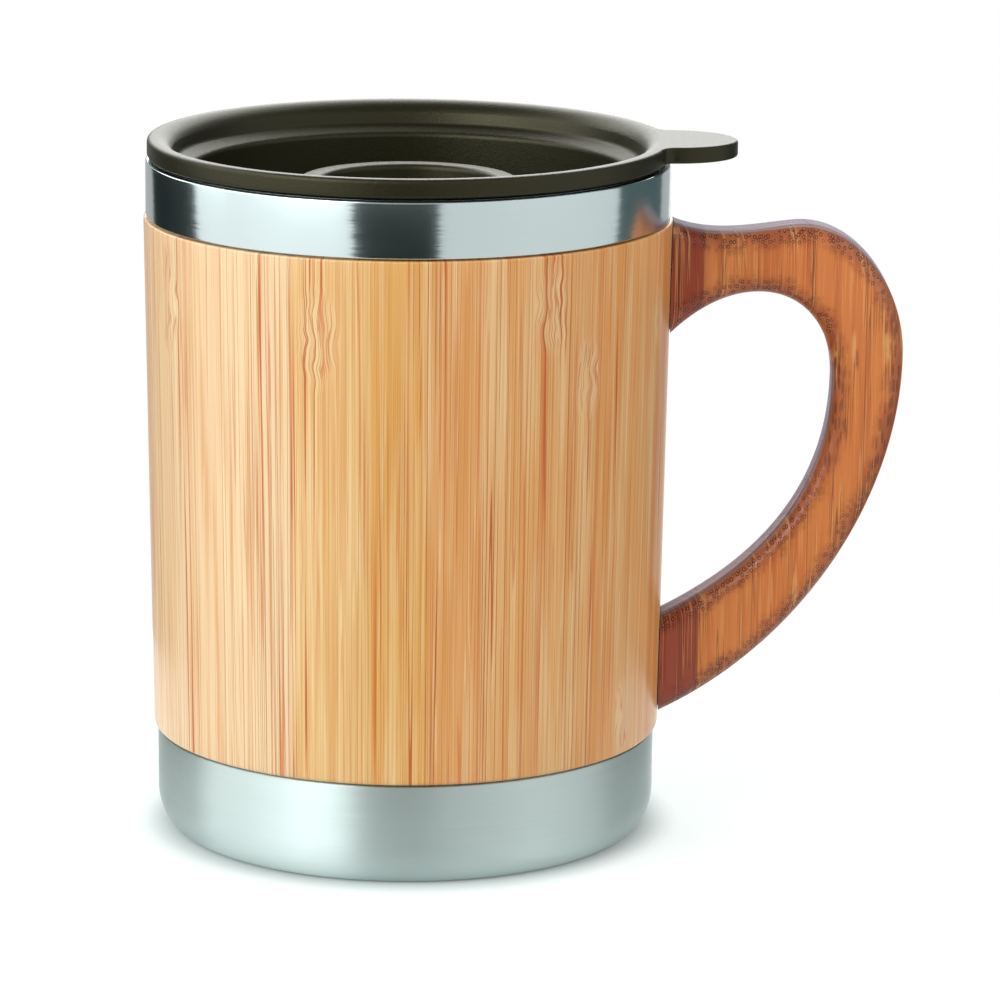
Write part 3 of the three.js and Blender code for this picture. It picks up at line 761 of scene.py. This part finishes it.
def closure_screw():
    low, high = box_mm("closure_screw")
    radius = high.x * CLOSURE_SHANK_SHARE
    length = high.z - low.z - CLOSURE_HEAD_HEIGHT
    piece = screw("dial_screw", radius, length, radius, high.x, CLOSURE_HEAD_HEIGHT)
    return turned(piece, Matrix.Translation((0, 0, (low.z + CLOSURE_HEAD_HEIGHT) * MM)))


# Materials

def srgb(red, green, blue):
    """A colour as it looks on a screen, from 0 to 255, as the linear colour that shaders take."""
    linear = []
    for value in (red, green, blue):
        share = value / 255
        linear.append(share / 12.92 if share <= 0.04045 else ((share + 0.055) / 1.055) ** 2.4)
    return (*linear, 1.0)


def shade(colour, factor):
    """A lighter or darker shade of a colour."""
    return (*(channel * factor for channel in colour[:3]), 1.0)


WHITE = srgb(255, 255, 255)
BLACK = srgb(0, 0, 0)


class Nodes:
    """A node tree and its shader. Methods take numbers, colours or other nodes' outputs."""

    def __init__(self, owner, shader):
        owner.use_nodes = True
        self.tree = owner.node_tree
        self.shader = self.tree.nodes[shader]

    def feed(self, socket, value):
        if isinstance(value, bpy.types.NodeSocket):
            self.tree.links.new(value, socket)
        else:
            socket.default_value = value

    def set(self, socket, value):
        self.feed(self.shader.inputs[socket], value)

    def node(self, kind, inputs, **settings):
        node = self.tree.nodes.new("ShaderNode" + kind)
        for name, value in settings.items():
            setattr(node, name, value)
        for socket, value in inputs.items():
            self.feed(node.inputs[socket], value)
        return node

    def math(self, operation, first, second=0.0, third=0.0):
        return self.node("Math", {0: first, 1: second, 2: third}, operation=operation).outputs[0]

    def times(self, first, second):
        return self.math("MULTIPLY", first, second)

    def plus(self, first, second):
        return self.math("ADD", first, second)

    def minus(self, first, second):
        return self.math("SUBTRACT", first, second)

    def larger(self, first, second):
        return self.math("MAXIMUM", first, second)

    def between(self, share, low, high):
        """A value that goes from low to high while a share goes from 0 to 1."""
        return self.math("MULTIPLY_ADD", share, high - low, low)

    def seen(self):
        """1 for rays that show things, straight or reflected, and 0 for rays that light things."""
        path = self.node("LightPath", {}).outputs
        seen = path["Is Camera Ray"]
        for kind in ("Is Glossy Ray", "Is Transmission Ray"):
            seen = self.larger(seen, path[kind])
        return seen


class Finish(Nodes):
    """One material."""

    def __init__(self, name, **constants):
        self.material = bpy.data.materials.new(name)
        super().__init__(self.material, "Principled BSDF")
        for socket, value in constants.items():
            self.set(socket.replace("_", " "), value)

    def place(self):
        """Where a point lies on the piece, in millimetres, as three numbers."""
        point = self.node("TexCoord", {}).outputs["Object"]
        inputs = {0: point, 1: (1 / MM, 1 / MM, 1 / MM)}
        return self.split(self.node("VectorMath", inputs, operation="MULTIPLY").outputs[0])

    def normal(self):
        """The piece's own surface direction, as three numbers."""
        return self.split(self.node("TexCoord", {}).outputs["Normal"])

    def split(self, vector):
        return self.node("SeparateXYZ", {0: vector}).outputs[:]

    def step(self, value, zero_at, one_at):
        """Rises smoothly from 0 to 1 between two values."""
        ends = (0.0, 1.0) if zero_at < one_at else (1.0, 0.0)
        inputs = {"Value": value, "To Min": ends[0], "To Max": ends[1]}
        inputs["From Min"] = min(zero_at, one_at)
        inputs["From Max"] = max(zero_at, one_at)
        return self.node("MapRange", inputs, interpolation_type="SMOOTHSTEP").outputs["Result"]

    def noise(self, x, y, z, detail=2.0):
        """A value from 0 to 1 that changes over a length of about 1."""
        vector = self.node("CombineXYZ", {0: x, 1: y, 2: z}).outputs[0]
        inputs = {"Vector": vector, "Scale": 1.0, "Detail": detail}
        return self.node("TexNoise", inputs).outputs[0]

    def cloud(self, place, scales, detail=2.0):
        """Noise at a place whose three numbers are scaled."""
        scaled = (self.times(side, scale) for side, scale in zip(place, scales))
        return self.noise(*scaled, detail)

    def on_circle(self, angle, radius):
        """The two coordinates of a point on a circle."""
        return [self.times(self.math(side, angle), radius) for side in ("COSINE", "SINE")]

    def centred(self, value):
        """A value from 0 to 1, moved to lie round 0."""
        return self.minus(value, 0.5)

    def to_border(self, share):
        """How far a share from 0 to 1 lies from the nearer of its ends."""
        return self.math("MINIMUM", share, self.minus(1.0, share))

    def random(self, index, seed):
        """A number from 0 to 1 that belongs to a whole number."""
        inputs = {"W": self.plus(index, seed)}
        return self.node("TexWhiteNoise", inputs, noise_dimensions="1D").outputs["Value"]

    def mix(self, share, first, second):
        node = self.node("Mix", {0: share, 6: first, 7: second}, data_type="RGBA")
        return node.outputs[2]

    def cover(self, colour, layers):
        """A colour under layers. Each is a colour, its share and a value that says where it is."""
        for other, share, where in layers:
            colour = self.mix(self.times(where, share), colour, other)
        return colour

    def bump(self, height, depth_mm):
        inputs = {"Height": height, "Distance": depth_mm * MM, "Strength": 1.0}
        return self.node("Bump", inputs).outputs[0]


# Sleeve: the bamboo's own nodes, as degrees round the axis from the handle, heights and sizes
SLEEVE_NODES = [
    (-153, 90, 1.2), (-109, 88, 1.0), (-58, 92, 0.9), (-48, 80, 0.8),
    (-20, 87, 0.6), (-33, 23, 0.8), (24, 41, 0.9), (58, 86, 0.7),
    (93, 33, 1.0), (121, 74, 0.8), (150, 52, 1.1), (178, 27, 0.7),
]
NODE_HALF_WIDTH = 4.2
NODE_HALF_HEIGHT = 9.5
STRIPS = 38
FIBRE_SWING = 1.8  # how far the fibres swing out at a node
STRIP_UNEVEN = 1.1  # how far the strips' edges stray from even spacing, in strips
STRAY_SCALE = 6  # a larger one makes them stray in shorter waves
SLEEVE_LINE_DEPTH = 0.07
PALE = srgb(243, 214, 172)
STRAW = srgb(237, 192, 120)
GOLD = srgb(230, 168, 70)
AMBER = srgb(226, 146, 58)
APRICOT = srgb(232, 166, 84)
# Strips that lie together are often of one tone: the degrees where it starts, and the tone
STRIP_TONES = [
    (-180, PALE), (-113, STRAW), (-97, GOLD), (-86, AMBER), (-72, APRICOT),
    (-44, AMBER), (-14, GOLD), (36, PALE), (97, APRICOT), (151, PALE),
]


def near_nodes(finish, angle, z):
    """1 in the middle of each of the bamboo's nodes, and 0 away from them."""
    nearest = 0.0
    for degrees, height, size in SLEEVE_NODES:
        turn = finish.minus(angle, math.radians(degrees))
        turn = finish.math("WRAP", turn, math.pi, -math.pi)
        across = finish.times(turn, SLEEVE_RADIUS / (NODE_HALF_WIDTH * size))
        along = finish.times(finish.minus(z, height), 1 / (NODE_HALF_HEIGHT * size))
        square = finish.math("MULTIPLY_ADD", across, across, finish.times(along, along))
        nearest = finish.larger(nearest, finish.step(square, 1.0, 0.1))
    return nearest


def strip_tone(finish, index):
    """The tone of the group of strips that a strip belongs to."""
    ramp = finish.node("ValToRGB", {0: finish.times(finish.plus(index, 0.5), 1 / STRIPS)})
    ramp.color_ramp.interpolation = "CONSTANT"
    stops = ramp.color_ramp.elements
    while len(stops) < len(STRIP_TONES):
        stops.new(0.5)
    for stop, (degrees, colour) in zip(stops, STRIP_TONES):
        stop.position = (degrees + 180) / 360
        stop.color = colour
    return ramp.outputs[0]


class Fibres:
    """Noise drawn out along Z, at a place across the fibres that may be bent.

    Widths and lengths are in millimetres, and different starts keep patterns apart.
    """

    def __init__(self, finish, u, v, z):
        self.finish, self.u, self.v, self.z = finish, u, v, z

    def __call__(self, width, length, detail=1.0, start=0.0):
        finish = self.finish
        across = (finish.plus(finish.times(side, 1 / width), start) for side in (self.u, self.v))
        return finish.noise(*across, finish.times(self.z, 1 / length), detail)

    def threads(self, width, length, thickness, start=0.0):
        """Thin lines that run along the fibres: 1 in a line and 0 beside it."""
        away = self.finish.math("ABSOLUTE", self.finish.centred(self(width, length, 0.0, start)))
        return self.finish.step(away, thickness, thickness / 3)


def sleeve_finish():
    finish = Finish("sleeve_bamboo", Coat_Weight=0.5, Coat_Roughness=0.2, Coat_IOR=1.45, IOR=1.45)
    step, times = finish.step, finish.times
    x, y, z = finish.place()
    angle = finish.math("ARCTAN2", y, x)
    near = near_nodes(finish, angle, z)
    swing = finish.cloud((x, y, z), (0.2, 0.2, 0.17), 1.0)
    swing = times(finish.centred(swing), 2 * FIBRE_SWING / SLEEVE_RADIUS)
    bent = finish.plus(angle, times(near, swing))
    fibres = Fibres(finish, *finish.on_circle(bent, SLEEVE_RADIUS), z)

    stray = finish.noise(*finish.on_circle(angle, STRAY_SCALE), 0.0)
    even = times(finish.plus(angle, math.pi), STRIPS / (2 * math.pi))
    strip = finish.plus(even, times(finish.centred(stray), 2 * STRIP_UNEVEN))
    inside = finish.math("FRACT", strip)
    index = finish.math("FLOORED_MODULO", finish.math("FLOOR", strip), STRIPS)

    honey = srgb(214, 136, 44)
    rust = srgb(208, 98, 6)
    bark = srgb(166, 62, 4)
    light = srgb(250, 224, 172)
    rose = srgb(226, 166, 116)

    clusters = step(fibres(4.0, 120, 2.0, 20.0), 0.4, 0.6)
    fading = step(fibres(0.8, 50, 1.0, 210.0), 0.33, 0.47)
    busy = finish.between(finish.random(index, 80.5), 0.2, 1.0)
    long_lines = times(fibres.threads(0.8, 160, 0.04, 90.0), times(clusters, fading))
    short_lines = times(fibres.threads(0.55, 100, 0.04, 130.0), times(busy, fading))
    cracks = times(fibres.threads(0.6, 14, 0.05, 170.0), step(near, 0.15, 0.9))
    lines = finish.larger(long_lines, times(short_lines, 0.75))
    lines = finish.larger(lines, times(cracks, 0.7))
    seam = step(finish.to_border(inside), 0.025, 0.008)
    colour = finish.cover(strip_tone(finish, index), [
        (light, 0.3, finish.random(index, 0.5)),
        (rose, 0.3, finish.random(index, 40.5)),
        (light, 0.35, step(fibres(2.6, 40, 2.0, 250.0), 0.45, 0.7)),
        (honey, 0.5, step(fibres(1.3, 50, 2.0), 0.45, 0.75)),
        (honey, 0.3, step(fibres(0.2, 50), 0.45, 0.7)),
        (light, 0.35, fibres.threads(0.7, 90, 0.04, 50.0)),
        (light, 0.35, near),
        (rust, 0.9, lines),
        (bark, 0.4, step(lines, 0.7, 1.0)),
        (rust, 0.7, times(seam, finish.random(index, 120.5))),
    ])
    finish.set("Base Color", colour)
    finish.set("Roughness", finish.between(fibres(0.3, 20), 0.38, 0.48))
    finish.set("Normal", finish.bump(times(lines, -1.0), SLEEVE_LINE_DEPTH))
    return finish.material


# Handle: strips across X, fibres along Z, and cut fibre bundles that show near the edges
DARK_STRIP_END = 47.4
HANDLE_STRIP = 8.8
CUT_ACROSS = (0.8, 0.92)  # spacing of the bundles along X and Z where an edge cuts them across
CUT_ALONG = (0.5, 3.0)  # and where an edge runs along them
EDGE_TONE_DEPTH = 4.0  # how far in from its edge the board is darker
EDGE_TONE_FULL = 0.8  # how far in it is darkest
EDGE_WAVER = 3.0  # by how much these two vary
STRIP_WAVER = 3.0  # by how much the dark strip's end varies
FIBRE_SLANT = 0.3  # how far the fibres run across X through the board's thickness, as a share
HANDLE_LINE_DEPTH = 0.05
PLASTIC_GRAIN_DEPTH = 0.045


def bundle_ends(finish, x, z, spacing):
    """The dark ring and the middle of each cut fibre bundle, as two values from 0 to 1."""
    u, v = (finish.times(side, 1 / pitch) for side, pitch in zip((x, z), spacing))
    vector = finish.node("CombineXYZ", {0: u, 1: v}).outputs[0]
    inputs = {"Vector": vector, "Scale": 1.0, "Randomness": 0.75}
    cells = finish.node("TexVoronoi", inputs, voronoi_dimensions="2D")
    away = cells.outputs["Distance"]
    kept = finish.step(cells.outputs["Color"], 0.28, 0.34)
    ring = finish.times(finish.step(away, 0.4, 0.33), finish.step(away, 0.11, 0.19))
    return finish.times(ring, kept), finish.times(finish.step(away, 0.19, 0.11), kept)


def handle_finish():
    dusty = {"Sheen_Tint": srgb(196, 218, 255), "Sheen_Roughness": 0.35}
    finish = Finish("handle_bamboo", Coat_Roughness=0.25, IOR=1.45, **dusty)
    step, times = finish.step, finish.times
    x, y, z = finish.place()
    nx, ny, nz = finish.normal()
    fibres = Fibres(finish, finish.plus(x, times(y, FIBRE_SLANT)), 0.0, z)
    from_edge = finish.node("Attribute", {}, attribute_name="edge_distance").outputs["Fac"]
    edge_across = finish.node("Attribute", {}, attribute_name="edge_across").outputs["Fac"]
    wavering = finish.cloud((x, y, z), (0.3, 0.3, 0.3))
    from_edge = finish.plus(from_edge, times(finish.centred(wavering), EDGE_WAVER))
    edge = step(from_edge, EDGE_TONE_DEPTH, EDGE_TONE_FULL)
    face = step(finish.math("ABSOLUTE", ny), 0.4, 0.75)
    side = finish.minus(1.0, face)
    # Top and inward-facing sides: end grain, rougher and less glossy, and a painted reflection
    # there, a grey haze in their colour for the lilac sheen of grazing light
    inward = times(step(nx, -0.1, -0.5), step(nz, -0.3, 0.1))
    end_grain_and_painted_haze = times(side, finish.larger(inward, step(nz, 0.2, 0.6)))

    strip = times(finish.minus(x, DARK_STRIP_END), 1 / HANDLE_STRIP)
    index = finish.math("FLOOR", strip)
    inside = finish.math("FRACT", strip)

    orange = srgb(214, 118, 54)
    amber = srgb(232, 148, 76)
    brown = srgb(176, 80, 34)
    mahogany = srgb(154, 52, 34)
    burnt = srgb(126, 42, 20)
    deep = srgb(76, 24, 12)
    cream = srgb(242, 182, 112)
    # Painted reflection colours: the grey haze of the sides' grazing sheen
    painted_haze = srgb(98, 86, 86)
    pale_painted_haze = srgb(152, 145, 146)

    ragged = finish.plus(x, times(fibres(0.9, 30, 1.0, 60.0), STRIP_WAVER))
    patchy = step(fibres(2.5, 20, 1.0, 90.0), 0.46, 0.6)
    scores = times(fibres.threads(0.6, 26, 0.04, 120.0), patchy)
    marked = times(edge, face)
    rounds = times(marked, step(edge_across, 0.25, 0.5))
    dashes = finish.minus(marked, rounds)
    ring, core = (times(mark, rounds) for mark in bundle_ends(finish, x, z, CUT_ACROSS))
    dash = times(finish.plus(*bundle_ends(finish, x, z, CUT_ALONG)), dashes)
    # The painted reflection haze, lighter in streaks across the board's thickness
    painted_haze_streaks = finish.cloud((y, x, z), (2.2, 0.06, 0.06), 3.0)
    painted_haze_colour = finish.mix(step(painted_haze_streaks, 0.4, 0.65), painted_haze, pale_painted_haze)
    colour = finish.cover(orange, [
        (amber, 0.6, finish.random(index, 7.5)),
        (brown, 0.6, step(fibres(1.8, 40, 3.0), 0.42, 0.75)),
        (cream, 0.35, step(fibres(0.35, 14, 1.0, 30.0), 0.5, 0.75)),
        (mahogany, 0.85, step(ragged, DARK_STRIP_END + 1.9, DARK_STRIP_END + 1.3)),
        (burnt, 0.6, edge),
        (deep, 0.5, scores),
        # painted glints: thin cream lines along the fibres, in patches
        (cream, 0.5, times(fibres.threads(0.7, 40, 0.04, 150.0), patchy)),
        (deep, 0.85, ring),
        (amber, 0.35, core),
        (deep, 0.55, dash),
        (deep, 0.45, step(finish.to_border(inside), 0.014, 0.004)),
        # painted reflection: grey haze on the top and inward sides
        (painted_haze_colour, 0.65, end_grain_and_painted_haze),
    ])
    finish.set("Base Color", colour)
    finish.set("Roughness", finish.between(end_grain_and_painted_haze, 0.4, 0.6))
    finish.set("Coat Weight", times(face, 0.25))
    finish.set("Sheen Weight", times(end_grain_and_painted_haze, 0.6))
    finish.set("Specular IOR Level", finish.between(end_grain_and_painted_haze, 0.5, 0.15))
    hollows = finish.plus(finish.plus(ring, dash), scores)
    finish.set("Normal", finish.bump(times(hollows, -1.0), HANDLE_LINE_DEPTH))
    return finish.material


def turned_steel(name, colour, roughness, spread, anisotropy, swing):
    """Steel with fine turning marks round the axis.

    The marks vary its roughness by spread and swing its reflections sideways by swing.
    """
    finish = Finish(name, Metallic=1.0, Anisotropic=anisotropy, Anisotropic_Rotation=0.25)
    place = finish.place()
    marks = finish.cloud(place, (0.03, 0.03, 7.0), 3.0)
    patches = finish.cloud(place, (0.05, 0.05, 0.08))
    finish.set("Base Color", finish.cover(colour, [(shade(colour, 0.9), 0.6, marks)]))
    varied = finish.between(marks, roughness - spread / 2, roughness + spread / 2)
    uneven = finish.times(finish.centred(patches), spread)
    finish.set("Roughness", finish.plus(uneven, varied))
    tangent = finish.node("Tangent", {}, direction_type="RADIAL", axis="Z").outputs[0]
    finish.set("Tangent", tangent)
    streaks = finish.cloud(place, (0.02, 0.02, 4.0), 3.0)
    sideways = finish.times(finish.centred(streaks), swing)
    normal = finish.node("NewGeometry", {}).outputs["Normal"]
    inputs = {0: tangent, 1: sideways, 2: normal}
    finish.set("Normal", finish.node("VectorMath", inputs, operation="MULTIPLY_ADD").outputs[0])
    return finish.material


def moulded_plastic(name, colour, roughness, grain, sheen=WHITE):
    """Moulded plastic with a grain, in millimetres. sheen is the colour of its highlights."""
    finish = Finish(name, IOR=1.45, Specular_Tint=sheen)
    place = finish.place()
    fine = finish.cloud(place, [1 / grain] * 3, 3.0)
    cloud = finish.cloud(place, [0.08] * 3)
    finish.set("Base Color", finish.cover(colour, [(shade(colour, 1.25), 0.8, cloud)]))
    finish.set("Roughness", finish.between(fine, roughness - 0.1, roughness + 0.1))
    finish.set("Normal", finish.bump(fine, PLASTIC_GRAIN_DEPTH))
    return finish.material


# Stage: floor, cards that the steel reflects, lamps and camera
FLOOR_RADIUS = 130
FLOOR_GLOW = 0.56
PAINTED_SHADOW_GLOW = 0.1  # the floor's glow where the cup's base rests on it, inside a painted contact shadow
PAINTED_SHADOW_REACH = 5.2  # from the base's side to the floor's full glow, where the painted shadow fades out
FLOOR_COLOUR = srgb(182, 192, 190)
SKY_FILL = 0.5
CARD_DISTANCE = 600
HIGH_CARD_DISTANCE = 580
CARD_LOW = -500
CARD_HIGH = 700
SIDE_HIGH = 150
REAR_HIGH = 320
DIM = 0.3  # cards that are less bright than this are bluish
DIM_TINT = (0.7, 1.0, 1.02, 1.0)
# Cards: name, degrees round the axis where it starts and ends, its lower edge and its brightness
CARDS = [
    ("front_card", -113, -77, CARD_LOW, 0.018),
    ("front_high_card", -113, -77, SIDE_HIGH, 0.5),
    ("right_card", -77, 11, CARD_LOW, 0.74),
    ("right_dark_card", 11, 52, CARD_LOW, 0.12),
    ("right_edge_card", 52, 70, CARD_LOW, 0.48),
    ("left_card", 125, 168, CARD_LOW, 0.02),
    ("left_rear_card", 100, 125, CARD_LOW, 0.46),
    ("left_high_card", 165, 215, SIDE_HIGH, 2.4),
    ("rear_high_card", 60, 150, REAR_HIGH, 3.4),
]
CEILING_RADIUS = 1600
CEILING_HEIGHT = 900
CEILING_BRIGHTNESS = 0.05
# Lamps: name, degrees round the axis, degrees up, distance, side and power in watts
LAMPS = [
    ("key_lamp", -138, 28, 900, 700, 5.7),
    ("right_lamp", -25, 30, 1000, 700, 3.0),
    ("top_lamp", 70, 60, 900, 700, 2.4),
    ("back_lamp", 90, 11, 1500, 900, 6.2),
    ("left_lamp", 168, 20, 1000, 700, 1.2),
]
CAMERA_PLACE = (1.4, -814.7, 241.7)
CAMERA_YAW = 0.967  # degrees, as are the next two
CAMERA_PITCH = 13.013
CAMERA_ROLL = -0.531
FOCAL_WIDTHS = 5.1363  # focal length, in image widths
SENSOR_WIDTH = 36
NEAREST_SEEN = 10


def build_world():
    world = bpy.data.worlds.new("studio")
    bpy.context.scene.world = world
    sky = Nodes(world, "Background")
    sky.set("Color", WHITE)
    sky.set("Strength", sky.between(sky.seen(), SKY_FILL, 1.0))


def disc(name, radius, z):
    vertices = [(u, v, z) for u, v in polygon(radius, DISC_SIDES)]
    return make_piece(name, vertices, [list(range(DISC_SIDES))])


def build_floor():
    """A pale floor that glows like a lit table, with a painted contact shadow: less glow under and
    round where the cup stands.
    """
    floor = disc("floor", FLOOR_RADIUS, 0)
    finish = Finish("floor", Base_Color=FLOOR_COLOUR, Emission_Color=WHITE)
    finish.set("Roughness", 0.9)
    finish.set("Specular IOR Level", 0.0)
    point = finish.node("TexCoord", {}).outputs["Object"]
    away = finish.node("VectorMath", {0: point}, operation="LENGTH").outputs["Value"]
    # Painted contact shadow: the floor's glow drops towards the cup's base
    inner, outer = BASE_RADIUS - BASE_CORNER_ACROSS, BASE_RADIUS + PAINTED_SHADOW_REACH
    outside_painted_shadow = finish.step(away, inner * MM, outer * MM)
    glow = finish.between(outside_painted_shadow, PAINTED_SHADOW_GLOW, FLOOR_GLOW)
    finish.set("Emission Strength", finish.times(finish.seen(), glow))
    floor.data.materials.append(finish.material)


def build_wall_card(name, start, end, low, brightness):
    """An upright card that curves round the cup. A higher card stands nearer than the others."""
    distance = CARD_DISTANCE if low == CARD_LOW else HIGH_CARD_DISTANCE
    points = circle(distance, start, end, CARD_STEPS)
    vertices = [(u, v, z) for z in (low, CARD_HIGH) for u, v in points]
    count = len(points)
    faces = [[i, i + 1, count + i + 1, count + i] for i in range(CARD_STEPS)]
    show_in_reflections(make_piece(name, vertices, faces), name, brightness)


def show_in_reflections(card, name, brightness):
    """Makes a card that only reflections show, and that casts neither light nor shadow."""
    tint = DIM_TINT if brightness < DIM else WHITE
    finish = Finish(name, Base_Color=BLACK, Emission_Color=tint, Emission_Strength=brightness)
    finish.set("Specular IOR Level", 0.0)
    card.data.materials.append(finish.material)
    card.visible_camera = False
    card.visible_diffuse = False
    card.visible_shadow = False


def build_lamp(name, azimuth, elevation, distance, size, power):
    """A square soft lamp that looks at the middle of the cup."""
    data = bpy.data.lights.new(name, "AREA")
    data.shape = "SQUARE"
    data.size = size * MM
    data.energy = power
    lamp = add_object(name, data)
    middle = Vector((0, 0, CREST / 2)) * MM
    around, up = heading(azimuth), heading(elevation)
    direction = Vector((around.x * up.x, around.y * up.x, up.y))
    lamp.location = middle + direction * distance * MM
    lamp.rotation_euler = direction.to_track_quat("Z", "Y").to_euler()
    lamp.visible_camera = False


def build_camera():
    """A camera that looks along +Y, turned right by its yaw, down by its pitch, and rolled."""
    data = bpy.data.cameras.new("camera")
    data.sensor_fit = "HORIZONTAL"
    data.sensor_width = SENSOR_WIDTH
    data.lens = FOCAL_WIDTHS * SENSOR_WIDTH
    data.clip_start = NEAREST_SEEN * MM
    camera = add_object("camera", data)
    tilt = Matrix.Rotation(math.radians(90 - CAMERA_PITCH), 4, "X")
    turn = about_z(-CAMERA_YAW) @ tilt @ about_z(-CAMERA_ROLL)
    camera.matrix_world = Matrix.Translation(Vector(CAMERA_PLACE) * MM) @ turn
    bpy.context.scene.camera = camera


def dress(piece, material, body, slot, *nodes):
    """Gives a piece its material and its body, and hides the nodes that it stands for. Its slot is
    not used.
    """
    piece.data.materials.clear()
    piece.data.materials.append(material)
    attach(piece, body)
    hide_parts(*nodes)


def build_object():
    base_steel = turned_steel("base_steel", srgb(203, 217, 215), 0.48, 0.08, 0.95, 0.08)
    band_steel = turned_steel("band_steel", srgb(220, 236, 236), 0.18, 0.06, 0.8, 0.05)
    liner_steel = turned_steel("liner_steel", srgb(212, 218, 218), 0.3, 0.08, 0.6, 0.05)
    screw_steel = turned_steel("screw_steel", srgb(198, 202, 202), 0.3, 0.1, 0.3, 0.02)
    warm = srgb(255, 253, 210)
    plastic = moulded_plastic("lid_plastic", srgb(24, 22, 9), 0.4, 0.34, warm)
    dial_plastic = moulded_plastic("dial_plastic", srgb(28, 26, 12), 0.4, 0.34, warm)
    silicone = moulded_plastic("silicone", srgb(150, 153, 148), 0.5, 0.6)
    dress(base_cap(), base_steel, "cup", "base_steel", "base_cap")
    dress(outer_shell(), band_steel, "cup", "shell_steel", "outer_shell")
    dress(inner_liner(), liner_steel, "cup", "liner_steel", "inner_liner")
    dress(bamboo_sleeve(), sleeve_finish(), "cup", "sleeve_bamboo", "bamboo_sleeve")
    dress(handle(), handle_finish(), "cup", "handle_bamboo", "handle")
    upper_screw, lower_screw = handle_screws()
    dress(upper_screw, screw_steel, "cup", "screw_steel", "upper_handle_screw")
    dress(lower_screw, screw_steel, "cup", "screw_steel", "lower_handle_screw")
    dress(lid_body(), plastic, "lid", "lid_plastic", "lid_body")
    dress(lid_gasket(), silicone, "lid", "gasket_silicone", "lid_gasket")
    dress(closure_dial(), dial_plastic, "closure", "dial_plastic", "closure_dial")
    dress(closure_shutter(), dial_plastic, "closure", "dial_plastic", "closure_shutter")
    dress(closure_screw(), screw_steel, "closure", "screw_steel", "closure_screw")


def build_stage():
    build_world()
    build_floor()
    for card in CARDS:
        build_wall_card(*card)
    ceiling = disc("ceiling_card", CEILING_RADIUS, CEILING_HEIGHT)
    show_in_reflections(ceiling, "ceiling_card", CEILING_BRIGHTNESS)
    for lamp in LAMPS:
        build_lamp(*lamp)
    build_camera()
    bpy.context.scene.view_settings.view_transform = "Standard"


build_object()
build_stage()
